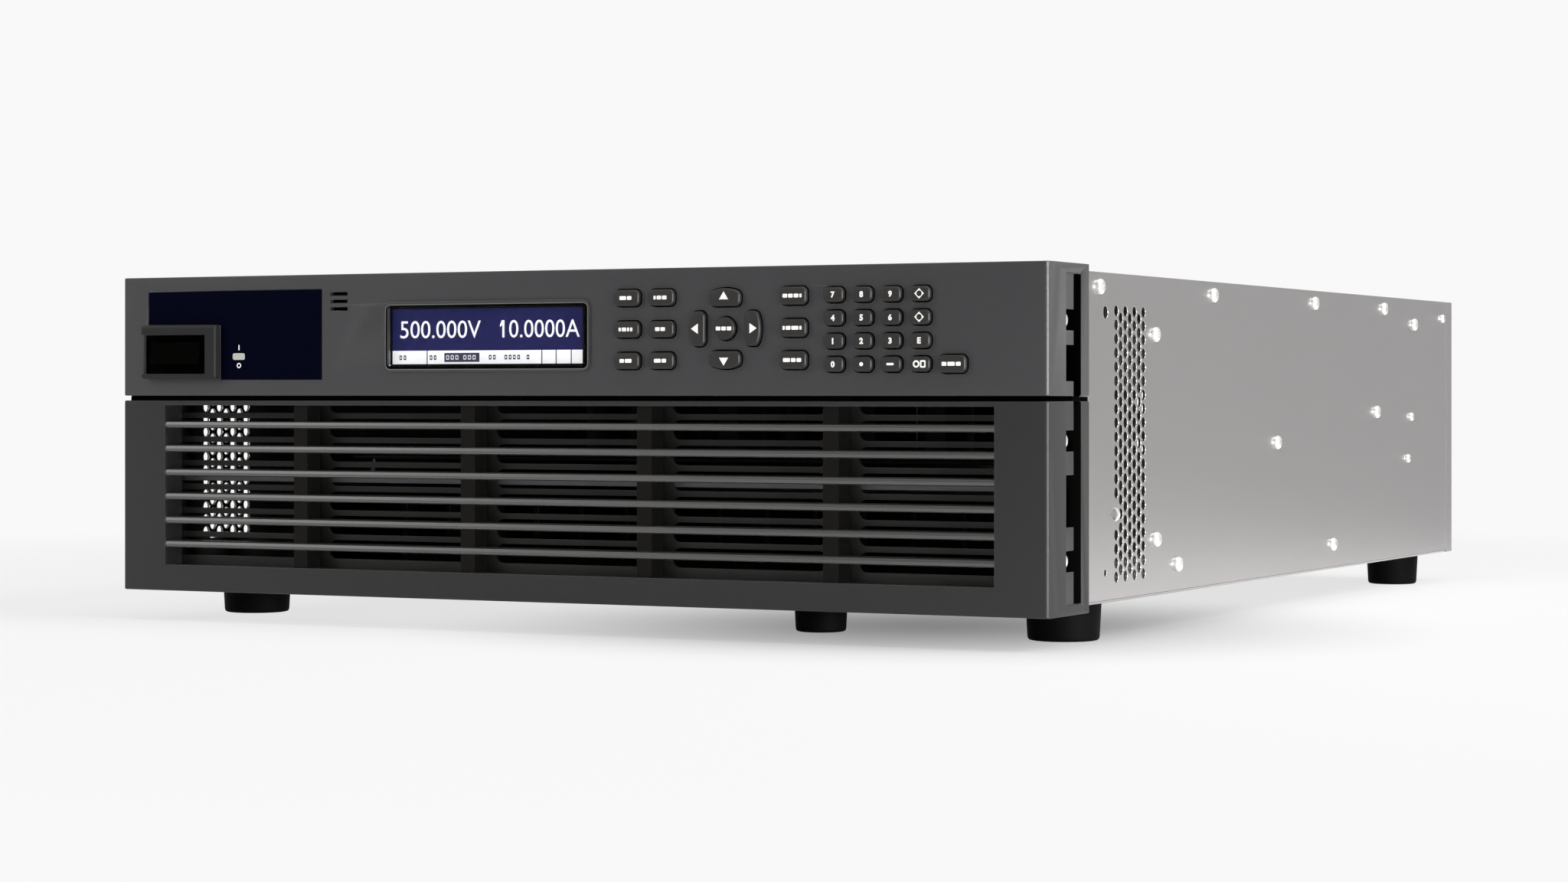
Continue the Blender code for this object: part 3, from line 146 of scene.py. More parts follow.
class Draw:
    """Outlines and solids that several sub-assemblies share."""

    @staticmethod
    def arc(centre: Point, radius: float, start: float, end: float, steps: int) -> Outline:
        """Return the points of an arc.

        Args:
            centre: Middle of the arc.
            radius: Its radius.
            start: First angle in radians.
            end: Last angle in radians.
            steps: Number of straight steps.

        Returns:
            The points, both ends included.
        """
        turn = (end - start) / steps
        angles = [start + turn * i for i in range(steps + 1)]
        return [(centre[0] + radius * math.cos(t), centre[1] + radius * math.sin(t)) for t in angles]

    @staticmethod
    def circle(centre: Point, radius: float, sides: int) -> Outline:
        """Return a regular polygon.

        Args:
            centre: Its middle.
            radius: Distance of its corners from the middle.
            sides: Number of sides.

        Returns:
            The corners.
        """
        turn = math.tau / sides
        return Draw.arc(centre, radius, 0.0, math.tau - turn, sides - 1)

    @staticmethod
    def rectangle(a0: float, a1: float, b0: float, b1: float) -> Outline:
        """Return the four corners between two limits each way.

        Args:
            a0: Lower first coordinate.
            a1: Upper first coordinate.
            b0: Lower second coordinate.
            b1: Upper second coordinate.

        Returns:
            The corners in turn.
        """
        return [(a0, b0), (a1, b0), (a1, b1), (a0, b1)]

    @staticmethod
    def rounded(centre: Point, size: Point, corner: float, steps: int = 6) -> Outline:
        """Return a rectangle with round corners.

        Args:
            centre: Its middle.
            size: Width and height.
            corner: Corner radius.
            steps: Steps in each corner.

        Returns:
            The outline.
        """
        half_a = size[0] / 2 - corner
        half_b = size[1] / 2 - corner
        outline: Outline = []
        for quarter, (sign_a, sign_b) in enumerate(((1, 1), (-1, 1), (-1, -1), (1, -1))):
            middle = (centre[0] + sign_a * half_a, centre[1] + sign_b * half_b)
            start = quarter * math.pi / 2
            outline += Draw.arc(middle, corner, start, start + math.pi / 2, steps)
        return outline

    @staticmethod
    def loft(rings: Sequence[Sequence[Vector]]) -> bmesh.types.BMesh:
        """Return a solid whose skin runs through rings of points.

        Args:
            rings: Rings with equal numbers of points, from one end to the other.

        Returns:
            The solid, closed at both ends.
        """
        shape = bmesh.new()
        loops = [[shape.verts.new(point) for point in ring] for ring in rings]
        for first, second in zip(loops, loops[1:]):
            for i, vert in enumerate(first):
                following = (i + 1) % len(first)
                shape.faces.new((vert, first[following], second[following], second[i]))
        shape.faces.new(loops[0])
        shape.faces.new(loops[-1])
        bmesh.ops.recalc_face_normals(shape, faces=shape.faces)
        return shape

    @staticmethod
    def prism(outline: Outline, axis: Axis, start: float, end: float) -> bmesh.types.BMesh:
        """Return an outline extruded along an axis.

        Args:
            outline: The outline.
            axis: Axis to extrude along.
            start: Where the solid starts.
            end: Where it ends.

        Returns:
            The solid.
        """
        return Draw.loft([[axis.point(a, b, along) for a, b in outline] for along in (start, end)])

    @staticmethod
    def plate(
        outline: Outline, holes: Iterable[Outline], axis: Axis, start: float, end: float
    ) -> bmesh.types.BMesh:
        """Return a sheet with holes.

        Args:
            outline: The sheet's outline.
            holes: Outlines of its holes.
            axis: Axis across the sheet.
            start: One face.
            end: The other face.

        Returns:
            The solid.
        """
        shape = bmesh.new()
        for loop in [outline, *holes]:
            verts = [shape.verts.new(axis.point(a, b, start)) for a, b in loop]
            for i, vert in enumerate(verts):
                shape.edges.new((vert, verts[(i + 1) % len(verts)]))
        bmesh.ops.triangle_fill(shape, use_beauty=True, edges=shape.edges[:])
        sheet = bmesh.ops.extrude_face_region(shape, geom=shape.faces[:])
        moved = [item for item in sheet["geom"] if isinstance(item, bmesh.types.BMVert)]
        bmesh.ops.translate(shape, verts=moved, vec=axis.point(0.0, 0.0, end - start))
        bmesh.ops.recalc_face_normals(shape, faces=shape.faces)
        return shape

    @staticmethod
    def together(shapes: Sequence[bmesh.types.BMesh]) -> bmesh.types.BMesh:
        """Join several solids into one mesh.

        Args:
            shapes: The solids, which are freed.

        Returns:
            One mesh with all of them.
        """
        whole = bmesh.new()
        for shape in shapes:
            part = bpy.data.meshes.new("part")
            shape.to_mesh(part)
            shape.free()
            whole.from_mesh(part)
            bpy.data.meshes.remove(part)
        return whole


class Wiring:
    """Adds and joins the nodes of one node tree."""

    def __init__(self, tree: bpy.types.NodeTree) -> None:
        """Work on the given tree."""
        self.tree = tree

    def add(self, kind: str, **settings: object) -> bpy.types.Node:
        """Add a node.

        Args:
            kind: Blender's name for the node type.
            settings: Properties to set on it.

        Returns:
            The node.
        """
        node = self.tree.nodes.new(kind)
        for name, value in settings.items():
            setattr(node, name, value)
        return node

    def feed(self, value: object, socket: bpy.types.NodeSocket) -> None:
        """Link a socket to another, or set its value.

        Args:
            value: An output socket, or a plain value.
            socket: The input to feed.
        """
        if isinstance(value, bpy.types.NodeSocket):
            self.tree.links.new(value, socket)
        else:
            socket.default_value = value

    def math(self, operation: str, first: object, second: object) -> bpy.types.NodeSocket:
        """Add a Math node.

        Args:
            operation: Blender's name for the operation.
            first: First value or socket.
            second: Second value or socket.

        Returns:
            The result's socket.
        """
        node = self.add("ShaderNodeMath", operation=operation)
        self.feed(first, node.inputs[0])
        self.feed(second, node.inputs[1])
        return node.outputs[0]

    def blend(self, share: object, first: object, second: object) -> bpy.types.NodeSocket:
        """Mix two colours.

        Args:
            share: Share of the second colour.
            first: First colour.
            second: Second colour.

        Returns:
            The mixed colour's socket.
        """
        node = self.add("ShaderNodeMix", data_type="RGBA")
        self.feed(share, node.inputs["Factor"])
        self.feed(first, node.inputs["A"])
        self.feed(second, node.inputs["B"])
        return node.outputs["Result"]


class Effect(Enum):
    """Surface effects that several finishes share."""

    GRAIN = "moulded_grain"
    # Paler edges: a painted highlight along edges as well as wear.
    RUB = "edge_highlight_and_wear"
    CLOUD = "soft_cloud"
    BRUSH = "brushed_sheet"


class EffectShelf:
    """Builds each shared node group once and hands it out."""

    FINE_LAYERS = 3.0
    PATCH_LAYERS = 4.0
    SHEEN_SCALE = 14.0
    PATCH_SCALE = 90.0
    PATCH_FLOOR = 0.4
    RUB_SAMPLES = 4
    ROLL_STRETCH = (1.0, 0.04, 1.0)
    SURFACE_INPUTS = {"Scale": NUMBER, "Roughness": NUMBER, "Spread": NUMBER}
    SURFACE_OUTPUTS = {"Height": NUMBER, "Roughness": NUMBER}

    def __init__(self) -> None:
        """Build every group."""
        self.trees = {
            Effect.GRAIN: self._grain(),
            Effect.RUB: self._rub(),
            Effect.CLOUD: self._cloud(),
            Effect.BRUSH: self._brush(),
        }

    def place(self, wiring: Wiring, effect: Effect, **values: object) -> bpy.types.Node:
        """Put an effect into a material.

        Args:
            wiring: The material's wiring.
            effect: Which effect.
            values: Inputs by name, with underscores for spaces.

        Returns:
            The group node.
        """
        node = wiring.add("ShaderNodeGroup", node_tree=self.trees[effect])
        for name, value in values.items():
            wiring.feed(value, node.inputs[name.replace("_", " ").capitalize()])
        return node

    @staticmethod
    def _start(effect: Effect, inputs: dict[str, str], outputs: dict[str, str]) -> tuple:
        """Make an empty group.

        Args:
            effect: The effect it is for.
            inputs: Input names and socket types.
            outputs: Output names and socket types.

        Returns:
            Its tree, wiring, input node and output node.
        """
        tree = bpy.data.node_groups.new(effect.value, "ShaderNodeTree")
        for name, kind in inputs.items():
            tree.interface.new_socket(name, in_out="INPUT", socket_type=kind)
        for name, kind in outputs.items():
            tree.interface.new_socket(name, in_out="OUTPUT", socket_type=kind)
        wiring = Wiring(tree)
        return tree, wiring, wiring.add("NodeGroupInput"), wiring.add("NodeGroupOutput")

    @staticmethod
    def _noise(
        wiring: Wiring, scale: object, layers: float, stretch: Sequence[float] = ()
    ) -> bpy.types.NodeSocket:
        """Add a noise over the piece.

        Args:
            wiring: The group's wiring.
            scale: How fine the noise is.
            layers: How many finer layers it has.
            stretch: Scale along each axis, or nothing for an even noise.

        Returns:
            The noise's socket, with values round 0.5.
        """
        place = wiring.add("ShaderNodeTexCoord").outputs["Object"]
        if stretch:
            mapping = wiring.add("ShaderNodeMapping")
            mapping.inputs["Scale"].default_value = stretch
            wiring.feed(place, mapping.inputs["Vector"])
            place = mapping.outputs["Vector"]
        noise = wiring.add("ShaderNodeTexNoise")
        noise.inputs["Detail"].default_value = layers
        wiring.feed(place, noise.inputs["Vector"])
        wiring.feed(scale, noise.inputs["Scale"])
        return noise.outputs[0]

    @staticmethod
    def _vary(
        wiring: Wiring, noise: bpy.types.NodeSocket, middle: object, amount: object
    ) -> bpy.types.NodeSocket:
        """Let a value swing with a noise.

        Args:
            wiring: The group's wiring.
            noise: The noise's socket.
            middle: The value that it swings about.
            amount: How far it swings.

        Returns:
            The swinging value's socket.
        """
        swing = wiring.math("SUBTRACT", noise, 0.5)
        return wiring.math("ADD", middle, wiring.math("MULTIPLY", swing, amount))

    def _grain(self) -> bpy.types.NodeTree:
        """Return the fine spark-eroded grain of moulded plastic: height and roughness."""
        tree, wiring, given, made = self._start(Effect.GRAIN, self.SURFACE_INPUTS, self.SURFACE_OUTPUTS)
        fine = self._noise(wiring, given.outputs["Scale"], self.FINE_LAYERS)
        coarse = self._noise(wiring, self.SHEEN_SCALE, self.PATCH_LAYERS)
        rough = self._vary(wiring, coarse, given.outputs["Roughness"], given.outputs["Spread"])
        wiring.feed(rough, made.inputs["Roughness"])
        wiring.feed(fine, made.inputs["Height"])
        return tree

    def _rub(self) -> bpy.types.NodeTree:
        """Return paler edges in patches, a painted highlight along edges as well as wear: a colour and its
        mask.
        """
        tree, wiring, given, made = self._start(
            Effect.RUB,
            {"Colour": COLOUR, "Rubbed": COLOUR, "Width": NUMBER, "Amount": NUMBER},
            {"Colour": COLOUR, "Mask": NUMBER},
        )
        rounded = wiring.add("ShaderNodeBevel", samples=self.RUB_SAMPLES)
        wiring.feed(given.outputs["Width"], rounded.inputs["Radius"])
        surface = wiring.add("ShaderNodeNewGeometry")
        facing = wiring.add("ShaderNodeVectorMath", operation="DOT_PRODUCT")
        wiring.feed(rounded.outputs["Normal"], facing.inputs[0])
        wiring.feed(surface.outputs["Normal"], facing.inputs[1])
        # Where the rounded normal turns away from the face's own, that is on edges, the colour goes paler:
        # painted highlight and wear.
        turn = wiring.math("SUBTRACT", 1.0, facing.outputs["Value"])
        patches = self._noise(wiring, self.PATCH_SCALE, self.PATCH_LAYERS)
        worn_and_highlit = wiring.math("MULTIPLY", turn, wiring.math("ADD", patches, self.PATCH_FLOOR))
        mask = wiring.math("MULTIPLY", worn_and_highlit, given.outputs["Amount"])
        mask = wiring.math("MINIMUM", mask, 1.0)
        mixed = wiring.blend(mask, given.outputs["Colour"], given.outputs["Rubbed"])
        wiring.feed(mixed, made.inputs["Colour"])
        wiring.feed(mask, made.inputs["Mask"])
        return tree

    def _cloud(self) -> bpy.types.NodeTree:
        """Return a colour that drifts slightly over the surface."""
        tree, wiring, given, made = self._start(
            Effect.CLOUD,
            {"Colour": COLOUR, "Scale": NUMBER, "Amount": NUMBER},
            {"Colour": COLOUR},
        )
        drift = self._noise(wiring, given.outputs["Scale"], self.FINE_LAYERS)
        gain = self._vary(wiring, drift, 1.0, given.outputs["Amount"])
        shade = wiring.add("ShaderNodeVectorMath", operation="SCALE")
        wiring.feed(given.outputs["Colour"], shade.inputs[0])
        wiring.feed(gain, shade.inputs["Scale"])
        wiring.feed(shade.outputs["Vector"], made.inputs["Colour"])
        return tree

    def _brush(self) -> bpy.types.NodeTree:
        """Return the rolled lines of sheet metal: height and roughness."""
        tree, wiring, given, made = self._start(Effect.BRUSH, self.SURFACE_INPUTS, self.SURFACE_OUTPUTS)
        lines = self._noise(wiring, given.outputs["Scale"], self.FINE_LAYERS, self.ROLL_STRETCH)
        rough = self._vary(wiring, lines, given.outputs["Roughness"], given.outputs["Spread"])
        wiring.feed(rough, made.inputs["Roughness"])
        wiring.feed(lines, made.inputs["Height"])
        return tree


def start_material(name: str) -> tuple[bpy.types.Material, Wiring, bpy.types.Node]:
    """Make a material with a plain shader.

    Args:
        name: Its name.

    Returns:
        The material, its wiring and its shader.
    """
    material = bpy.data.materials.new(name)
    material.use_nodes = True
    tree = material.node_tree
    return material, Wiring(tree), tree.nodes["Principled BSDF"]


@dataclass(frozen=True)
class Finish:
    """A plain solid finish: moulded plastic, rubber, paint or bare metal."""

    name: str
    colour: Colour
    roughness: float
    spread: float = 0.1
    grain_scale: float = 1800.0
    relief: float = 0.00002
    metallic: float = 0.0
    # Colour, width and amount of the paler edges, which paint highlights as well as wear.
    rubbed: Colour = (150, 150, 150)
    rub_width: float = 0.0006
    rub_amount: float = 0.0
    drift: float = 0.08
    drift_scale: float = 9.0
    brushed: bool = False
    specular: float = 0.5
    edge_tint: float = 1.0

    def make(self, shelf: EffectShelf) -> bpy.types.Material:
        """Build the material.

        Args:
            shelf: The shared effects.

        Returns:
            The material.
        """
        material, wiring, shader = start_material(self.name)
        material.diffuse_color = linear(self.colour)
        shader.inputs["Metallic"].default_value = self.metallic
        shader.inputs["Specular IOR Level"].default_value = self.specular
        shader.inputs["Specular Tint"].default_value = grey(self.edge_tint)
        cloud = shelf.place(
            wiring, Effect.CLOUD, colour=linear(self.colour), scale=self.drift_scale, amount=self.drift
        )
        colour = cloud.outputs["Colour"]
        # Paler edges: a painted highlight along the edges, with wear in patches.
        if self.rub_amount > 0.0:
            highlight_and_wear = shelf.place(
                wiring,
                Effect.RUB,
                colour=colour,
                rubbed=linear(self.rubbed),
                width=self.rub_width,
                amount=self.rub_amount,
            )
            colour = highlight_and_wear.outputs["Colour"]
        wiring.feed(colour, shader.inputs["Base Color"])
        kind = Effect.BRUSH if self.brushed else Effect.GRAIN
        texture = shelf.place(
            wiring, kind, scale=self.grain_scale, roughness=self.roughness, spread=self.spread
        )
        wiring.feed(texture.outputs["Roughness"], shader.inputs["Roughness"])
        bump = wiring.add("ShaderNodeBump")
        bump.inputs["Distance"].default_value = self.relief
        bump.inputs["Strength"].default_value = BUMP_STRENGTH
        wiring.feed(texture.outputs["Height"], bump.inputs["Height"])
        wiring.feed(bump.outputs["Normal"], shader.inputs["Normal"])
        return material


@dataclass(frozen=True)
class ClearPane:
    """Clear plastic over the display."""

    name: str
    roughness: float = 0.04
    spread: float = 0.03
    smear_scale: float = 60.0
    index: float = 1.12

    def make(self, shelf: EffectShelf) -> bpy.types.Material:
        """Build the material.

        Args:
            shelf: The shared effects.

        Returns:
            The material.
        """
        material, wiring, shader = start_material(self.name)
        shader.inputs["Base Color"].default_value = grey(1.0)
        shader.inputs["Transmission Weight"].default_value = 1.0
        shader.inputs["IOR"].default_value = self.index
        smear = shelf.place(
            wiring, Effect.GRAIN, scale=self.smear_scale, roughness=self.roughness, spread=self.spread
        )
        wiring.feed(smear.outputs["Roughness"], shader.inputs["Roughness"])
        return material


@dataclass(frozen=True)
class LitInk:
    """A print or a display cell that gives its own light as well as taking light. The display's cells are
    backlit; the glow of a print is painted light.
    """

    name: str
    colour: Colour
    glow: float = 0.0
    roughness: float = 0.5
    drift: float = 0.06
    drift_scale: float = 45.0
    specular: float = 0.3

    def make(self, shelf: EffectShelf) -> bpy.types.Material:
        """Build the material.

        Args:
            shelf: The shared effects.

        Returns:
            The material.
        """
        material, wiring, shader = start_material(self.name)
        cloud = shelf.place(
            wiring, Effect.CLOUD, colour=linear(self.colour), scale=self.drift_scale, amount=self.drift
        )
        wiring.feed(cloud.outputs["Colour"], shader.inputs["Base Color"])
        shader.inputs["Roughness"].default_value = self.roughness
        shader.inputs["Specular IOR Level"].default_value = self.specular
        if self.glow > 0.0:
            wiring.feed(cloud.outputs["Colour"], shader.inputs["Emission Color"])
            shader.inputs["Emission Strength"].default_value = self.glow
        return material


# Each finish's highlight_and_wear colour is laid on its edges as a painted highlight as well as wear.
FINISHES = (
    Finish(
        "bezel_moulding",
        (58, 57, 59),
        0.5,
        grain_scale=1100.0,
        relief=0.00012,
        rubbed=(120, 120, 120),
        rub_amount=1.0,
        drift=0.1,
        specular=0.3,
    ),
    Finish(
        "lower_moulding",
        (47, 46, 47),
        0.52,
        grain_scale=1100.0,
        relief=0.00012,
        rubbed=(110, 110, 110),
        rub_amount=1.0,
        drift=0.1,
        specular=0.16,
    ),
    # Grille bars: the lower moulding, shinier, with a strong painted highlight along the bar edges.
    Finish(
        "grille_bar",
        (44, 44, 42),
        0.3,
        spread=0.08,
        rubbed=(150, 150, 146),
        rub_amount=2.0,
        specular=0.6,
    ),
    # Ribs and side walls set back in the grille: the moulding painted darker as shade.
    Finish("grille_rib_painted_shade", (22, 20, 18), 0.55, rubbed=(50, 48, 44), rub_amount=0.6, specular=0.05),
    Finish(
        "key_silicone",
        (44, 42, 41),
        0.5,
        grain_scale=2600.0,
        rubbed=(96, 94, 92),
        rub_amount=1.0,
        specular=0.2,
    ),
    Finish("navy_overlay", (4, 6, 25), 0.35, grain_scale=3200.0, relief=0.000006, specular=0.01),
    Finish("switch_guard", (50, 50, 50), 0.5, rubbed=(96, 96, 96), rub_amount=0.8, specular=0.05),
    # Black of the rocker and the display module; also painted as shade into notches, the seam, the switch
    # recess and round the keys.
    Finish("black_and_painted_shade", (9, 9, 8), 0.4, spread=0.12, rubbed=(26, 26, 24), rub_amount=0.3, specular=0.0),
    # Dark sheet behind the grille; also painted as shade on the inner faces of the case, the walls of the
    # vent holes and the sheet behind the lower vents.
    Finish("dark_sheet_and_painted_shade", (42, 43, 38), 0.42, rubbed=(80, 80, 76), rub_amount=0.8, specular=0.25),
    Finish("shelf_sheet", (96, 97, 99), 0.4, metallic=0.3, brushed=True, grain_scale=900.0, specular=0.2),
    # Pale ring round the window border: a painted highlight on the rim's edge.
    Finish("window_rim_highlight", (120, 120, 120), 0.4, specular=0.3),
    Finish(
        "case_sheet",
        (152, 149, 149),
        0.27,
        spread=0.01,
        metallic=0.8,
        brushed=True,
        grain_scale=1500.0,
        relief=0.0000005,
        rubbed=(225, 225, 225),
        rub_amount=0.8,
        drift=0.04,
        drift_scale=5.0,
        edge_tint=0.6,
    ),
    Finish("foot_rubber", (6, 6, 6), 0.72, grain_scale=1200.0, relief=0.00006, specular=0.03),
    Finish("fan_black", (26, 26, 27), 0.5, rubbed=(70, 70, 70), rub_amount=0.8, specular=0.25),
    Finish("board_green", (14, 40, 26), 0.45, grain_scale=700.0, specular=0.25),
    Finish("sink_black", (14, 14, 15), 0.5, spread=0.12, brushed=True, grain_scale=1100.0, specular=0.1),
    Finish("inlet_black", (18, 18, 18), 0.4, rubbed=(70, 70, 70), rub_amount=0.8, specular=0.25),
    Finish("bar_tin", (205, 200, 190), 0.3, metallic=1.0, brushed=True, grain_scale=1300.0),
    Finish("screw_zinc", (214, 213, 210), 0.34, metallic=1.0, spread=0.1, grain_scale=1600.0),
    ClearPane("clear_pane"),
    # White print that also glows, as painted light.
    LitInk("legend_white_and_painted_glow", (226, 226, 222), glow=0.6),
    LitInk("display_field", (22, 23, 62), glow=0.25, drift=1.6, drift_scale=1100.0, specular=0.02),
    LitInk("display_white", (190, 191, 193), glow=0.6),
    LitInk("display_dark", (34, 34, 60), glow=0.1),
    LitInk("lamp_lens", (196, 198, 188), glow=0.15, roughness=0.3),
)


@dataclass
class Bench:
    """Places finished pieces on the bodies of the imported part."""

    frame: dict
    shelf: EffectShelf
    materials: dict[str, bpy.types.Material] = field(default_factory=dict)

    def prepare(self) -> None:
        """Build every finish."""
        for finish in FINISHES:
            self.materials[finish.name] = finish.make(self.shelf)

    @staticmethod
    def origin() -> Point:
        """Return the front face and the bottom edge of the bezels."""
        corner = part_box("lower_bezel")[0]
        return corner.y, corner.z

    def place(
        self,
        name: str,
        shape: bmesh.types.BMesh,
        finish: str,
        body: str = ROOT,
        slot: str | None = None,
        replaces: Sequence[str] = (),
        smooth: float = 35.0,
    ) -> bpy.types.Object:
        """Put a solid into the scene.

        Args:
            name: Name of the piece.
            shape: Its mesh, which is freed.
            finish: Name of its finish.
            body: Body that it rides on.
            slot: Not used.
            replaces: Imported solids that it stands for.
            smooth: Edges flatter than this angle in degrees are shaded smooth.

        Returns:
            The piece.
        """
        mesh = bpy.data.meshes.new(name)
        shape.to_mesh(mesh)
        shape.free()
        mesh.materials.append(self.materials[finish])
        mesh.shade_smooth()
        mesh.set_sharp_from_angle(angle=math.radians(smooth))
        piece = bpy.data.objects.new(name, mesh)
        bpy.context.scene.collection.objects.link(piece)
        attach(piece, body)
        if replaces:
            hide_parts(*replaces)
        LOG.info("placed %s on %s", name, body)
        return piece

    def soften(
        self,
        node: str,
        finish: str,
        width: float,
        segments: int = 2,
        body: str = ROOT,
        tool: bmesh.types.BMesh | None = None,
        crisp: Callable[[Vector], bool] | None = None,
    ) -> bpy.types.Object:
        """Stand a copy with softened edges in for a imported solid.

        Args:
            node: Name of the solid.
            finish: Name of its finish.
            width: Width of the softened edges.
            segments: Steps across each edge.
            body: Body that it rides on.
            tool: Solid to cut out of it first, or None.
            crisp: Tells whether the edge with this middle stays sharp, or None for none.

        Returns:
            The piece.
        """
        shape = bmesh.new()
        shape.from_mesh(self.frame["nodes"][node].data)
        bmesh.ops.remove_doubles(shape, verts=shape.verts[:], dist=WELD)
        if tool:
            shape = self.carve(shape, tool)
        bmesh.ops.dissolve_limit(
            shape, angle_limit=FLAT_ANGLE, verts=shape.verts[:], edges=shape.edges[:]
        )
        weight = shape.edges.layers.float.new("bevel_weight_edge")
        for edge in shape.edges:
            if len(edge.link_faces) == 2 and edge.is_convex and edge.calc_face_angle() > SOFT_ANGLE:
                if crisp is None or not crisp((edge.verts[0].co + edge.verts[1].co) / 2):
                    edge[weight] = min(1.0, self.room(edge) / width)
        piece = self.place(f"{node}_soft", shape, finish, body, self.slot_of(node), [node])
        step = piece.modifiers.new("soft_edges", "BEVEL")
        step.width = width
        step.segments = segments
        step.limit_method = "WEIGHT"
        step.harden_normals = True
        step.use_clamp_overlap = False
        return piece

    @staticmethod
    def room(edge: bmesh.types.BMEdge) -> float:
        """Return the width that softening an edge may take from the faces beside it."""
        along = (edge.verts[1].co - edge.verts[0].co).normalized()
        widths = [1.0]
        for vert in edge.verts:
            for other in vert.link_edges:
                step = other.verts[1].co - other.verts[0].co
                across = (step - along * step.dot(along)).length
                if across > STEEP_SHARE * step.length:
                    widths.append(across)
        return ROOM_SHARE * min(widths)

    @staticmethod
    def carve(shape: bmesh.types.BMesh, tool: bmesh.types.BMesh) -> bmesh.types.BMesh:
        """Cut one solid out of another.

        Args:
            shape: The solid to cut, which is freed.
            tool: The solid to cut out of it, which is freed.

        Returns:
            What is left.
        """
        items = []
        for name, solid in (("carved", shape), ("tool", tool)):
            mesh = bpy.data.meshes.new(name)
            solid.to_mesh(mesh)
            solid.free()
            items.append(bpy.data.objects.new(name, mesh))
            bpy.context.scene.collection.objects.link(items[-1])
        step = items[0].modifiers.new("cut", "BOOLEAN")
        step.operation = "DIFFERENCE"
        step.solver = "EXACT"
        step.object = items[1]
        bpy.context.view_layer.update()
        graph = bpy.context.evaluated_depsgraph_get()
        mesh = bpy.data.meshes.new_from_object(items[0].evaluated_get(graph))
        left = bmesh.new()
        left.from_mesh(mesh)
        bmesh.ops.remove_doubles(left, verts=left.verts[:], dist=WELD)
        for data in (*[item.data for item in items], mesh):
            bpy.data.meshes.remove(data)
        return left

    def recolour(
        self, piece: bpy.types.Object, finish: str, chosen: Callable[[bpy.types.MeshPolygon], bool]
    ) -> None:
        """Give some faces of a piece another finish.

        Args:
            piece: The piece.
            finish: Name of the other finish.
            chosen: Tells whether a face takes it.
        """
        piece.data.materials.append(self.materials[finish])
        slot = len(piece.data.materials) - 1
        for face in piece.data.polygons:
            if chosen(face):
                face.material_index = slot

    def slot_of(self, node: str) -> str:
        """Return the record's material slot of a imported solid."""
        for row in self.frame["record"]["subparts"]:
            if row["node"] == node:
                return row["material_slot"]
        raise KeyError(node)

    def letter(
        self,
        name: str,
        text: str,
        height: float,
        place: Vector,
        finish: str,
        body: str = ROOT,
        width: float | None = None,
        weight: float = 0.0,
    ) -> bpy.types.Object:
        """Print text on a face that looks to the front.

        Args:
            name: Name of the piece.
            text: The characters.
            height: Height of the print.
            place: Middle of the print, on the face.
            finish: Name of the ink.
            body: Body that it rides on.
            width: Width of the print, or None to keep the letters' own proportions.
            weight: How much the strokes are thickened, as a share of the font size.

        Returns:
            The piece.
        """
        curve = bpy.data.curves.new(name, "FONT")
        curve.body = text
        curve.extrude = PRINT_DEPTH
        curve.offset = weight
        curve.resolution_u = LETTER_STEPS
        drawn = bpy.data.objects.new(name, curve)
        bpy.context.scene.collection.objects.link(drawn)
        bpy.context.view_layer.update()
        graph = bpy.context.evaluated_depsgraph_get()
        mesh = bpy.data.meshes.new_from_object(drawn.evaluated_get(graph))
        bpy.data.objects.remove(drawn)
        shape = bmesh.new()
        shape.from_mesh(mesh)
        bpy.data.meshes.remove(mesh)
        xs = [vert.co.x for vert in shape.verts]
        ys = [vert.co.y for vert in shape.verts]
        rise = height / (max(ys) - min(ys))
        stretch = width / (max(xs) - min(xs)) if width else rise
        centre = Matrix.Translation((-(max(xs) + min(xs)) / 2, -(max(ys) + min(ys)) / 2, 0.0))
        size = Matrix.Diagonal((stretch, rise, 1.0, 1.0))
        upright = Matrix.Translation(place) @ Matrix.Rotation(math.pi / 2, 4, "X") @ size @ centre
        bmesh.ops.transform(shape, matrix=upright, verts=shape.verts[:])
        bmesh.ops.remove_doubles(shape, verts=shape.verts[:], dist=LETTER_WELD)
        return self.place(name, shape, finish, body)


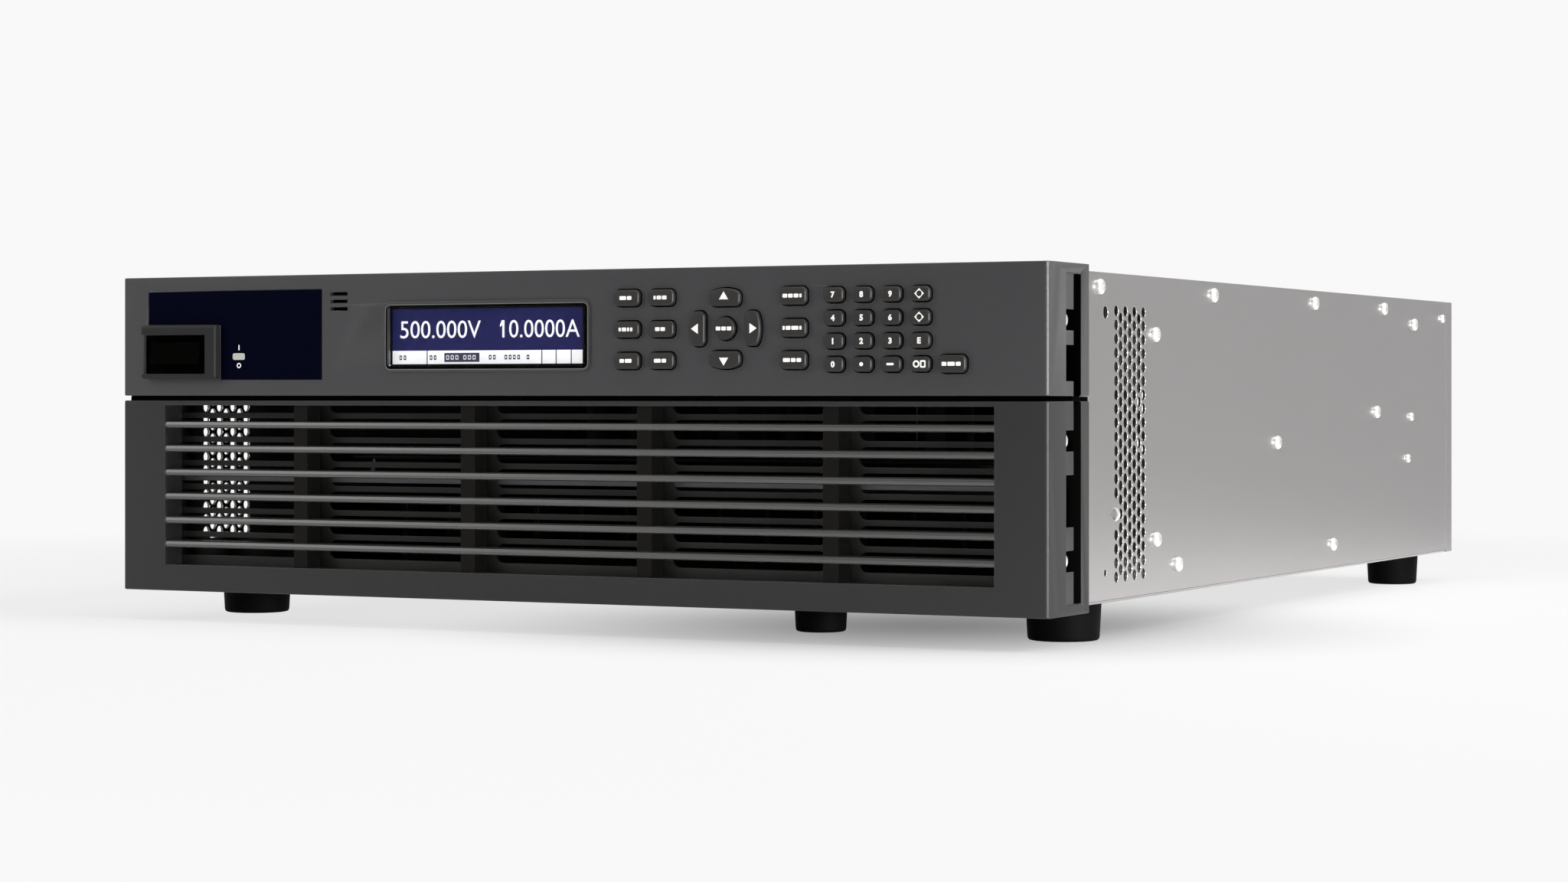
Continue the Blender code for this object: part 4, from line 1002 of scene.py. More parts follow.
@dataclass
class FrontPanel:
    """Both bezels, the label plate and the marks printed on it."""

    bench: Bench
    keypad: Keypad
    edge: float = 0.5 * MM
    plate_edge: float = 0.12 * MM
    lamp_centre: Point = (-152.6 * MM, 98.9 * MM)
    lamp_size: Point = (6.0 * MM, 2.8 * MM)
    lamp_corner: float = 0.8 * MM
    lamp_proud: float = 0.25 * MM
    lamp_sunk: float = 0.2 * MM
    mark_gap: float = 3.75 * MM
    on_size: Point = (0.5 * MM, 2.2 * MM)
    off_radii: Point = (1.1 * MM, 0.65 * MM)
    off_sides: int = 24
    grille_half: float = 190.9 * MM
    grille_heights: Point = (11.0 * MM, 78.5 * MM)
    bar_nose: float = 0.1 * MM
    rib_front: float = 1.3 * MM
    grille_back: float = 10.9 * MM
    latch_places: Point = (-25.45 * MM, 121.25 * MM)
    latch_width: float = 20.7 * MM
    latch_corner: float = 0.3 * MM
    seam_heights: Point = (80.5 * MM, 82.3 * MM)
    latch_front: float = 1.6 * MM
    latch_back: float = 2.3 * MM
    gasket_heights: Point = (82.15 * MM, 82.55 * MM)
    gasket_front: float = 2.4 * MM
    gasket_back: float = 25.5 * MM
    gasket_half: float = 210.4 * MM
    gasket_wall: float = 2.6 * MM
    plug_wall: float = 211.6 * MM
    border: tuple[float, float, float, float] = (0.65 * MM, 1.15 * MM, 0.95 * MM, 0.45 * MM)
    lip: float = 0.35 * MM
    window_corner: float = 1.5 * MM
    notch_depths: Point = (17.2 * MM, 32.3 * MM)
    notch_walls: Point = (204.5 * MM, 212.0 * MM)
    tongue_heights: Point = (80.6 * MM, 82.3 * MM)

    def build(self) -> None:
        """Dress the bezels and print the switch marks."""
        upper = self.bench.soften(
            "upper_bezel", "bezel_moulding", self.edge, tool=self.keypad.openings(), crisp=self._crisp()
        )
        lower = self.bench.soften("lower_bezel", "lower_moulding", self.edge, crisp=self._crisp())
        self._grille(lower)
        # Paint the side notches and the seam band black, as shade.
        for bezel in (upper, lower):
            self.bench.recolour(bezel, "black_and_painted_shade", self._hidden())
        self._latches()
        self._gasket()
        self._window_border()
        self.bench.soften("label_plate", "navy_overlay", self.plate_edge)
        self._switch_marks()

    def _switch_marks(self) -> None:
        """Set the lamp into the label plate and print the marks above and below it."""
        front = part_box("label_plate")[0].y
        _, base = self.bench.origin()
        x, z = self.lamp_centre[0], self.lamp_centre[1] + base
        outline = Draw.rounded((x, z), self.lamp_size, self.lamp_corner)
        lens = Draw.prism(outline, Axis.Y, front - self.lamp_proud, front + self.lamp_sunk)
        self.bench.place("power_lamp", lens, "lamp_lens")
        half_x, half_z = (size / 2 for size in self.on_size)
        middle = z + self.mark_gap
        stroke = Draw.rectangle(x - half_x, x + half_x, middle - half_z, middle + half_z)
        bar = Draw.prism(stroke, Axis.Y, front - PRINT_DEPTH, front + PRINT_DEPTH)
        self.bench.place("on_mark", bar, "legend_white_and_painted_glow")
        place = (x, z - self.mark_gap)
        ring, hole = (Draw.circle(place, radius, self.off_sides) for radius in self.off_radii)
        off_mark = Draw.plate(ring, [hole], Axis.Y, front - PRINT_DEPTH, front + PRINT_DEPTH)
        self.bench.place("off_mark", off_mark, "legend_white_and_painted_glow")

    def _crisp(self) -> Callable[[Vector], bool]:
        """Return the test for edges that stay sharp: round the keys, window, grille and side notches."""
        low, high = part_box("display_window")
        reach = Vector((1.0, 0.0, 1.0)) * (self.window_corner + MM)
        front, base = self.bench.origin()
        bottom, top = (base + height for height in self.grille_heights)
        half = self.grille_half + MM
        zones = [(low - reach, high + reach), self.keypad.zone()]
        zones.append((Vector((-half, 0.0, bottom - MM)), Vector((half, 0.0, top + MM))))
        inner = self.notch_walls[0] - MM
        near, far = self.notch_depths

        def sharp(spot: Vector) -> bool:
            """Tell whether the place lies in one of the zones or on a flank with its notches."""
            beside = abs(spot.x) > inner and near - MM < spot.y - front < far + MM
            return beside or any(a.x < spot.x < b.x and a.z < spot.z < b.z for a, b in zones)

        return sharp

    def _hidden(self) -> Callable[[bpy.types.MeshPolygon], bool]:
        """Return the test for faces painted black as shade: in the side notches and on the tongue in the
        seam.
        """
        front, base = self.bench.origin()
        near, far = self.notch_depths
        inner, outer = self.notch_walls
        low, high = self.tongue_heights

        def hidden(face: bpy.types.MeshPolygon) -> bool:
            """Tell whether the face is one of them."""
            in_notch = near < face.center.y - front < far and inner < abs(face.center.x) < outer
            return in_notch or low < face.center.z - base < high

        return hidden

    def _gasket(self) -> None:
        """Fill the slit above the tongue between the bezels with a black strip and a black block on each
        flank, as painted shade in the seam.
        """
        front, base = self.bench.origin()
        near, far = front + self.gasket_front, front + self.gasket_back
        half, inner = self.gasket_half, self.gasket_half - self.gasket_wall
        step = near + self.gasket_wall
        right = [(half, near), (half, far), (inner, far), (inner, step)]
        outline = right + [(-x, y) for x, y in reversed(right)]
        low, high = (base + height for height in self.gasket_heights)
        shapes = [Draw.prism(outline, Axis.Z, low, high)]
        rear = front + self.notch_depths[1] + MM
        floor = base + self.tongue_heights[0]
        for sign in (1.0, -1.0):
            walls = sorted((sign * self.notch_walls[0], sign * self.plug_wall))
            shapes.append(Draw.prism(Draw.rectangle(*walls, far, rear), Axis.Z, floor, high))
        self.bench.place("seam_shade_strip", Draw.together(shapes), "black_and_painted_shade")

    def _window_border(self) -> None:
        """Lay the black border on the rim round the window, and round it a pale ring that is a painted
        highlight on the rim's edge.
        """
        low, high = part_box("display_window")
        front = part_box("upper_bezel")[0].y
        left, right, below, above = self.border
        gap = self.lip / 4
        edges = [(0.0, 0.0, 0.0, 0.0), (left, right, below, above)]
        edges.append((left + self.lip, right + self.lip, below + self.lip, above + self.lip))
        rings = []
        for a, b, c, d in edges:
            middle = ((low.x + high.x + b - a) / 2, (low.z + high.z + d - c) / 2)
            size = (high.x - low.x + a + b - 2 * gap, high.z - low.z + c + d - 2 * gap)
            rings.append(Draw.rounded(middle, size, self.window_corner + a))
        for name, finish, hole, edge in (
            ("window_border", "black_and_painted_shade", rings[0], rings[1]),
            ("window_rim_highlight", "window_rim_highlight", rings[1], rings[2]),
        ):
            ring = Draw.plate(edge, [hole], Axis.Y, front - PRINT_DEPTH, front + PRINT_DEPTH)
            self.bench.place(name, ring, finish)

    def _grille(self, bezel: bpy.types.Object) -> None:
        """Give the bars of the grille a shinier finish with a strong painted highlight on their edges, and
        paint the ribs and side walls inside the grille darker, as painted shade.

        Args:
            bezel: The lower bezel.
        """
        front, base = self.bench.origin()
        low, high = (base + height for height in self.grille_heights)

        def inside(face: bpy.types.MeshPolygon) -> bool:
            """Tell whether a face is part of a bar or a rib."""
            spot = face.center
            deep = self.bar_nose < spot.y - front < self.grille_back
            return deep and abs(spot.x) < self.grille_half - self.bar_nose and low < spot.z < high

        def rib(face: bpy.types.MeshPolygon) -> bool:
            """Tell whether a face is part of a rib or a side wall, which are painted darker as shade."""
            set_back = face.center.y - front > self.rib_front
            square = abs(face.normal.x) > SQUARE_ON or (set_back and face.normal.y < -SQUARE_ON)
            return inside(face) and square

        self.bench.recolour(bezel, "grille_bar", inside)
        self.bench.recolour(bezel, "grille_rib_painted_shade", rib)

    def _latches(self) -> None:
        """Set a black block into the seam between the bezels, left and right, as painted shade where the
        seam shows dark notches.
        """
        front, base = self.bench.origin()
        low, high = (base + height for height in self.seam_heights)
        shapes = []
        for x in self.latch_places:
            size = (self.latch_width, high - low)
            outline = Draw.rounded((x, (low + high) / 2), size, self.latch_corner, 3)
            shapes.append(Draw.prism(outline, Axis.Y, front + self.latch_front, front + self.latch_back))
        self.bench.place("seam_shade_blocks", Draw.together(shapes), "black_and_painted_shade")


@dataclass
class PowerSwitch:
    """The switch housing with its guard, and the rocker."""

    bench: Bench
    edge: float = 0.5 * MM
    steps: int = 3
    recess: tuple[float, float, float, float] = (-200.4 * MM, -167.5 * MM, 91.6 * MM, 108.2 * MM)
    recess_front: float = 0.7 * MM

    def build(self) -> None:
        """Dress the housing and the rocker; the faces in the recess round the rocker are painted black as
        shade.
        """
        housing = self.bench.soften("switch_housing", "switch_guard", self.edge, self.steps)
        self.bench.recolour(housing, "black_and_painted_shade", self._in_recess())
        self.bench.soften("power_rocker", "black_and_painted_shade", self.edge, self.steps, "power_rocker")

    def _in_recess(self) -> Callable[[bpy.types.MeshPolygon], bool]:
        """Return the test for faces that lie in the recess round the rocker, which are painted black as
        shade.
        """
        front, base = self.bench.origin()
        x0, x1, z0, z1 = self.recess

        def inside(face: bpy.types.MeshPolygon) -> bool:
            """Tell whether the face is one of them."""
            spot = face.center
            within = x0 <= spot.x <= x1 and z0 + base <= spot.z <= z1 + base
            return within and spot.y > front - self.recess_front

        return inside


@dataclass
class Display:
    """The clear pane and the lit field behind it, with a reading and a status bar."""

    bench: Bench
    readings: tuple[tuple[str, str, float, float], ...] = (
        ("left", "500.000V", -74.1 * MM, -35.5 * MM),
        ("right", "10.0000A", -25.3 * MM, 10.7 * MM),
    )
    reading_heights: Point = (105.9 * MM, 113.0 * MM)
    bar: tuple[float, float, float, float] = (-77.8 * MM, 12.0 * MM, 95.4 * MM, 100.85 * MM)
    field_top: float = 117.8 * MM
    dividers: tuple[float, ...] = (-61.3 * MM, -7.0 * MM, -0.4 * MM, 6.6 * MM)
    divider_width: float = 0.45 * MM
    dark_block: tuple[float, float, float, float] = (-52.8 * MM, -36.1 * MM, 96.2 * MM, 99.9 * MM)
    flag: tuple[Point, ...] = (
        (-26.5, 110.9),
        (-26.2, 110.2),
        (-25.2, 111.3),
        (-25.2, 113.0),
        (-25.5, 113.0),
    )
    light_marks: tuple[float, ...] = (-51.2, -49.0, -46.8, -43.0, -40.8, -38.6)
    dark_marks: tuple[float, ...] = (
        *(-73.8, -71.8, -59.2, -57.2, -31.0, -29.0),
        *(-23.6, -21.6, -19.6, -17.6, -13.2),
    )
    light_width: float = 1.5 * MM
    dark_width: float = 1.2 * MM
    mark_height: float = 1.9 * MM
    mark_slot: float = 0.9 * MM
    mark_corner: float = 0.3 * MM
    pane_corner: float = 1.2 * MM
    skin: float = 0.05 * MM

    def build(self) -> None:
        """Lay the field, the bar and the reading behind the pane."""
        low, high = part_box("display_window")
        _, base = self.bench.origin()
        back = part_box("display_module")[0].y
        middle = ((low.x + high.x) / 2, (low.z + high.z) / 2)
        outline = Draw.rounded(middle, (high.x - low.x, high.z - low.z), self.pane_corner)
        pane = Draw.prism(outline, Axis.Y, low.y, high.y)
        self.bench.place(
            "display_pane", pane, "clear_pane", slot="display_glass", replaces=["display_window"]
        )
        x0, x1, z0, z1 = self.bar
        field_face = Draw.rectangle(x0, x1, z0 + base, self.field_top + base)
        layer = back - self.skin
        self._lay("display_field", field_face, layer, "display_field")
        layer -= 2 * self.skin
        self._lay("status_bar", Draw.rectangle(x0, x1, z0 + base, z1 + base), layer, "display_white")
        x0, x1, z0, z1 = self.dark_block
        block = Draw.rectangle(x0, x1, z0 + base, z1 + base)
        self._lay("status_block", block, layer - self.skin, "display_dark")
        for i, x in enumerate(self.dividers):
            line = Draw.rectangle(x, x + self.divider_width, self.bar[2] + base, self.bar[3] + base)
            self._lay(f"status_divider_{i + 1}", line, layer - self.skin, "display_dark")
        self._marks(base, layer - 2 * self.skin)
        z0, z1 = self.reading_heights
        for side, text, x0, x1 in self.readings:
            spot = Vector(((x0 + x1) / 2, layer, (z0 + z1) / 2 + base))
            self.bench.letter(f"reading_{side}", text, z1 - z0, spot, "display_white", width=x1 - x0)
        stroke = [(x * MM, z * MM + base) for x, z in self.flag]
        self._lay("reading_flag", stroke, layer, "display_white")

    def _lay(self, name: str, outline: Outline, front: float, finish: str) -> None:
        """Lay one thin cell of the display.

        Args:
            name: Name of the piece.
            outline: Its outline.
            front: Its front face.
            finish: Name of its finish.
        """
        self.bench.place(name, Draw.prism(outline, Axis.Y, front - self.skin, front), finish)

    def _marks(self, base: float, front: float) -> None:
        """Lay small plain marks in the status bar.

        Args:
            base: Height of the bezel's bottom edge.
            front: Front face of the layer behind the marks.
        """
        rows = (
            ("light", "display_white", self.light_marks, self.light_width),
            ("dark", "display_dark", self.dark_marks, self.dark_width),
        )
        middle = base + (self.dark_block[2] + self.dark_block[3]) / 2
        for label, finish, places, width in rows:
            cells = []
            for x in places:
                spot = (x * MM, middle)
                cell = Draw.rounded(spot, (width, self.mark_height), self.mark_corner, 2)
                hole = Draw.rounded(spot, (width / 2, self.mark_slot), self.mark_corner / 2, 2)
                cells.append(Draw.plate(cell, [hole], Axis.Y, front - self.skin, front))
            self.bench.place(f"status_marks_{label}", Draw.together(cells), finish)


class Legend(Enum):
    """How a key is marked."""

    DIGIT = "digit"
    ARROW = "arrow"
    DIAMOND = "diamond"
    DASHES = "dashes"
    BAR = "bar"
    DOT = "dot"
    ERASE = "erase"


@dataclass(frozen=True)
class KeyMark:
    """The mark on one key."""

    node: str
    legend: Legend
    text: str = ""
    turn: float = 0.0


SOFT_DASHES = ("32", "122", "1211", "22", "23", "32")
MODE_DASHES = ("2221", "1231", "322")
KEY_MARKS = (
    *(KeyMark(f"soft_key_{i}", Legend.DASHES, text) for i, text in enumerate(SOFT_DASHES, 1)),
    *(KeyMark(f"mode_key_{i}", Legend.DASHES, text) for i, text in enumerate(MODE_DASHES, 1)),
    KeyMark("select_key", Legend.DASHES, "222"),
    KeyMark("enter_key", Legend.DASHES, "232"),
    KeyMark("arrow_right_key", Legend.ARROW, turn=0.0),
    KeyMark("arrow_up_key", Legend.ARROW, turn=90.0),
    KeyMark("arrow_left_key", Legend.ARROW, turn=180.0),
    KeyMark("arrow_down_key", Legend.ARROW, turn=270.0),
    *(KeyMark(f"digit_key_{i}", Legend.DIGIT, str(i)) for i in range(10)),
    KeyMark("step_up_key", Legend.DIAMOND),
    KeyMark("step_down_key", Legend.DIAMOND),
    KeyMark("exponent_key", Legend.DIGIT, "E"),
    KeyMark("point_key", Legend.DOT),
    KeyMark("sign_key", Legend.BAR),
    KeyMark("backspace_key", Legend.ERASE),
)


@dataclass
class Keypad:
    """Soft domed keys in place of the plain ones, each with its mark."""

    bench: Bench
    flange: float = 0.7 * MM
    flange_depth: float = 1.0 * MM
    seat: float = 0.4 * MM
    wall: float = 3.0 * MM
    corner: float = 2.2 * MM
    nav_inner: float = 8.5 * MM
    nav_outer: float = 15.8 * MM
    nav_half_width: float = 6.95 * MM
    nav_corner: float = 2.4 * MM
    select_radius: float = 4.6 * MM
    slack: float = 0.12 * MM
    steps: int = 8
    dome: tuple[Point, ...] = ((0.85, 0.0), (0.42, 0.12), (0.13, 0.42), (0.0, 0.95))
    smooth: float = 50.0
    digit_height: float = 2.4 * MM
    digit_weight: float = 0.05
    dash_gap: float = 0.4
    dash_height: float = 1.5
    dash_corner: float = 0.3

    def build(self) -> None:
        """Make every key and print its mark."""
        front, _ = self.bench.origin()
        for mark in KEY_MARKS:
            low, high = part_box(mark.node)
            shoulder = high.y - self.flange_depth
            sections = [(high.y, self.flange), (shoulder, self.flange)]
            sections += [(shoulder, -self.slack), (front, -self.slack)]
            sections += [(low.y + depth * MM, -inset * MM - self.slack) for depth, inset in self.dome]
            rings = []
            for y, grow in sections:
                rings.append([Vector((a, y, b)) for a, b in self._outline(mark, grow)])
            cap = self.bench.place(
                f"{mark.node}_cap",
                Draw.loft(rings),
                "key_silicone",
                mark.node,
                "key_rubber",
                [mark.node],
                self.smooth,
            )
            # Paint the sides and flange of each key behind the bezel's face black, as shade in the gap
            # round the key.
            self.bench.recolour(cap, "black_and_painted_shade", lambda face: face.center.y > front)
            self._print(mark, Vector(((low.x + high.x) / 2, low.y, (low.z + high.z) / 2)))

    def openings(self) -> bmesh.types.BMesh:
        """Return the round-cornered openings that the keys pass through, as one solid to cut with."""
        front, _ = self.bench.origin()
        shapes = []
        for mark in KEY_MARKS:
            outline = self._outline(mark, self.seat)
            shapes.append(Draw.prism(outline, Axis.Y, front - MM, front + self.wall + self.slack))
        return Draw.together(shapes)

    def zone(self) -> tuple[Vector, Vector]:
        """Return the lower and upper corner of the part of the bezel that holds the keys."""
        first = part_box("soft_key_5")[0]
        last = Vector((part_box("enter_key")[1].x, first.y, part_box("step_up_key")[1].z))
        margin = Vector((1.0, 0.0, 2.0)) * MM
        return first - margin, last + margin

    def _outline(self, mark: KeyMark, grow: float) -> Outline:
        """Return the outline of a key.

        Args:
            mark: The key.
            grow: Distance that the outline is moved outward.

        Returns:
            The outline in X and Z.
        """
        low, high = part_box(mark.node)
        middle = ((low.x + high.x) / 2, (low.z + high.z) / 2)
        if mark.legend is Legend.ARROW:
            return self._arrow_outline(mark.turn, grow)
        if mark.node == "select_key":
            return Draw.circle(middle, self.select_radius + grow, 5 * self.steps)
        growth = 2 * (grow - self.flange)
        size = (high.x - low.x + growth, high.z - low.z + growth)
        return Draw.rounded(middle, size, self.corner + grow, self.steps)

    def _arrow_outline(self, turn: float, grow: float) -> Outline:
        """Return the outline of an arrow key: an arc round the middle key, closed by a straight side.

        Args:
            turn: Direction of the key from the middle key, in degrees.
            grow: Distance that the outline is moved outward.

        Returns:
            The outline in X and Z.
        """
        half = self.nav_half_width - self.nav_corner
        corner = self.nav_corner + grow
        far = math.sqrt((self.nav_outer - self.nav_corner) ** 2 - half**2)
        near = self.nav_inner + self.nav_corner
        spread = math.atan2(half, far)
        quarter = math.pi / 2
        outline = Draw.arc((0.0, 0.0), self.nav_outer + grow, -spread, spread, 2 * self.steps)
        outline += Draw.arc((far, half), corner, spread, quarter, self.steps)[1:]
        outline += Draw.arc((near, half), corner, quarter, 2 * quarter, self.steps)
        outline += Draw.arc((near, -half), corner, 2 * quarter, 3 * quarter, self.steps)
        outline += Draw.arc((far, -half), corner, 3 * quarter, 4 * quarter - spread, self.steps)[:-1]
        low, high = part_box("select_key")
        hub = Vector(((low.x + high.x) / 2, (low.z + high.z) / 2))
        aim = Matrix.Rotation(math.radians(turn), 2)
        return [tuple(hub + aim @ Vector(spot)) for spot in outline]

    def _print(self, mark: KeyMark, face: Vector) -> None:
        """Print a key's mark on its face.

        Args:
            mark: The key.
            face: Middle of its face.
        """
        name = f"{mark.node}_mark"
        if mark.legend is Legend.DIGIT:
            self.bench.letter(
                name,
                mark.text,
                self.digit_height,
                face,
                "legend_white_and_painted_glow",
                mark.node,
                weight=self.digit_weight,
            )
            return
        shapes = []
        for cell, hole in self._cells(mark):
            outline = [(a * MM + face.x, b * MM + face.z) for a, b in cell]
            holes = [[(a * MM + face.x, b * MM + face.z) for a, b in hole]] if hole else []
            shapes.append(
                Draw.plate(outline, holes, Axis.Y, face.y - PRINT_DEPTH, face.y + PRINT_DEPTH)
            )
        self.bench.place(name, Draw.together(shapes), "legend_white_and_painted_glow", mark.node)

    def _cells(self, mark: KeyMark) -> list[tuple[Outline, Outline]]:
        """Return the printed cells of a mark, in millimetres about the key's middle.

        Args:
            mark: The key.

        Returns:
            Outlines, each with the outline of its hole or an empty one.
        """
        if mark.legend is Legend.ARROW:
            corner = [Vector((2.3, 0.0)), Vector((-0.8, 2.0)), Vector((-0.8, -2.0))]
            turn = Matrix.Rotation(math.radians(mark.turn), 2)
            return [([tuple(turn @ spot) for spot in corner], [])]
        if mark.legend is Legend.DIAMOND:
            return [(Draw.circle((0.0, 0.0), 2.0, 4), Draw.circle((0.0, 0.0), 1.1, 16))]
        if mark.legend is Legend.BAR:
            return [(Draw.rounded((0.0, 0.0), (3.0, 0.9), 0.3, 3), [])]
        if mark.legend is Legend.DOT:
            return [(Draw.circle((0.0, 0.0), 0.8, 20), [])]
        if mark.legend is Legend.ERASE:
            left = (Draw.circle((-1.2, 0.0), 1.4, 24), Draw.circle((-1.2, 0.0), 0.75, 20))
            spot = (1.55, 0.0)
            right = (Draw.rounded(spot, (2.3, 2.8), 0.4, 3), Draw.rounded(spot, (1.1, 1.6), 0.2, 3))
            return [left, right]
        return self._dashes(mark.text)

    def _dashes(self, pattern: str) -> list[tuple[Outline, Outline]]:
        """Return a row of short plain strokes.

        Args:
            pattern: One digit for the length of each stroke.

        Returns:
            The strokes, centred.
        """
        lengths = [float(step) for step in pattern]
        total = sum(lengths) + self.dash_gap * (len(lengths) - 1)
        cells: list[tuple[Outline, Outline]] = []
        x = -total / 2
        for length in lengths:
            spot = (x + length / 2, 0.0)
            cells.append((Draw.rounded(spot, (length, self.dash_height), self.dash_corner, 3), []))
            x += length + self.dash_gap
        return cells


@dataclass
class Screws:
    """Pan-head screws with a six-lobed recess."""

    bench: Bench
    sides: int = 24
    profile: tuple[Point, ...] = (
        (1.0, 0.0),
        (1.0, 0.35),
        (0.94, 0.62),
        (0.8, 0.85),
        (0.58, 0.96),
        (0.25, 1.0),
    )
    recess_rises: Point = (0.98, 0.45)
    lobes: int = 6
    lobe_middle: float = 0.38
    lobe_swing: float = 0.08
    smooth: float = 40.0

    def head(self, radius: float, height: float, recess: bool) -> list[list[Vector]]:
        """Return the rings of a screw head that stands up along +Z from the origin.

        Args:
            radius: Radius of the head.
            height: Height of the head.
            recess: Whether it has a recess for the driver.

        Returns:
            The rings from the seat to the top or to the bottom of the recess.
        """
        turn = math.tau / self.sides
        rings = []
        for share, rise in self.profile[:-1] if recess else self.profile:
            rings.append([self._spot(share * radius, i * turn, rise * height) for i in range(self.sides)])
        for rise in self.recess_rises if recess else ():
            ring = []
            for i in range(self.sides):
                reach = self.lobe_middle + self.lobe_swing * math.cos(self.lobes * i * turn)
                ring.append(self._spot(radius * reach, i * turn, rise * height))
            rings.append(ring)
        return rings

    @staticmethod
    def _spot(radius: float, angle: float, rise: float) -> Vector:
        """Return a point at a radius, an angle and a height."""
        return Vector((radius * math.cos(angle), radius * math.sin(angle), rise))

    def drive(
        self,
        name: str,
        places: Sequence[Vector],
        facing: Vector,
        radius: float,
        height: float,
        recess: bool = True,
    ) -> None:
        """Place a group of screws that face one way.

        Args:
            name: Name of the piece.
            places: Seats of the heads.
            facing: Direction that the heads look to.
            radius: Radius of a head.
            height: Height of a head.
            recess: Whether the heads have a recess for the driver.
        """
        aim = Vector((0.0, 0.0, 1.0)).rotation_difference(facing).to_matrix().to_4x4()
        shapes = []
        for place in places:
            shape = Draw.loft(self.head(radius, height, recess))
            bmesh.ops.transform(shape, matrix=Matrix.Translation(place) @ aim, verts=shape.verts[:])
            shapes.append(shape)
        self.bench.place(name, Draw.together(shapes), "screw_zinc", smooth=self.smooth)


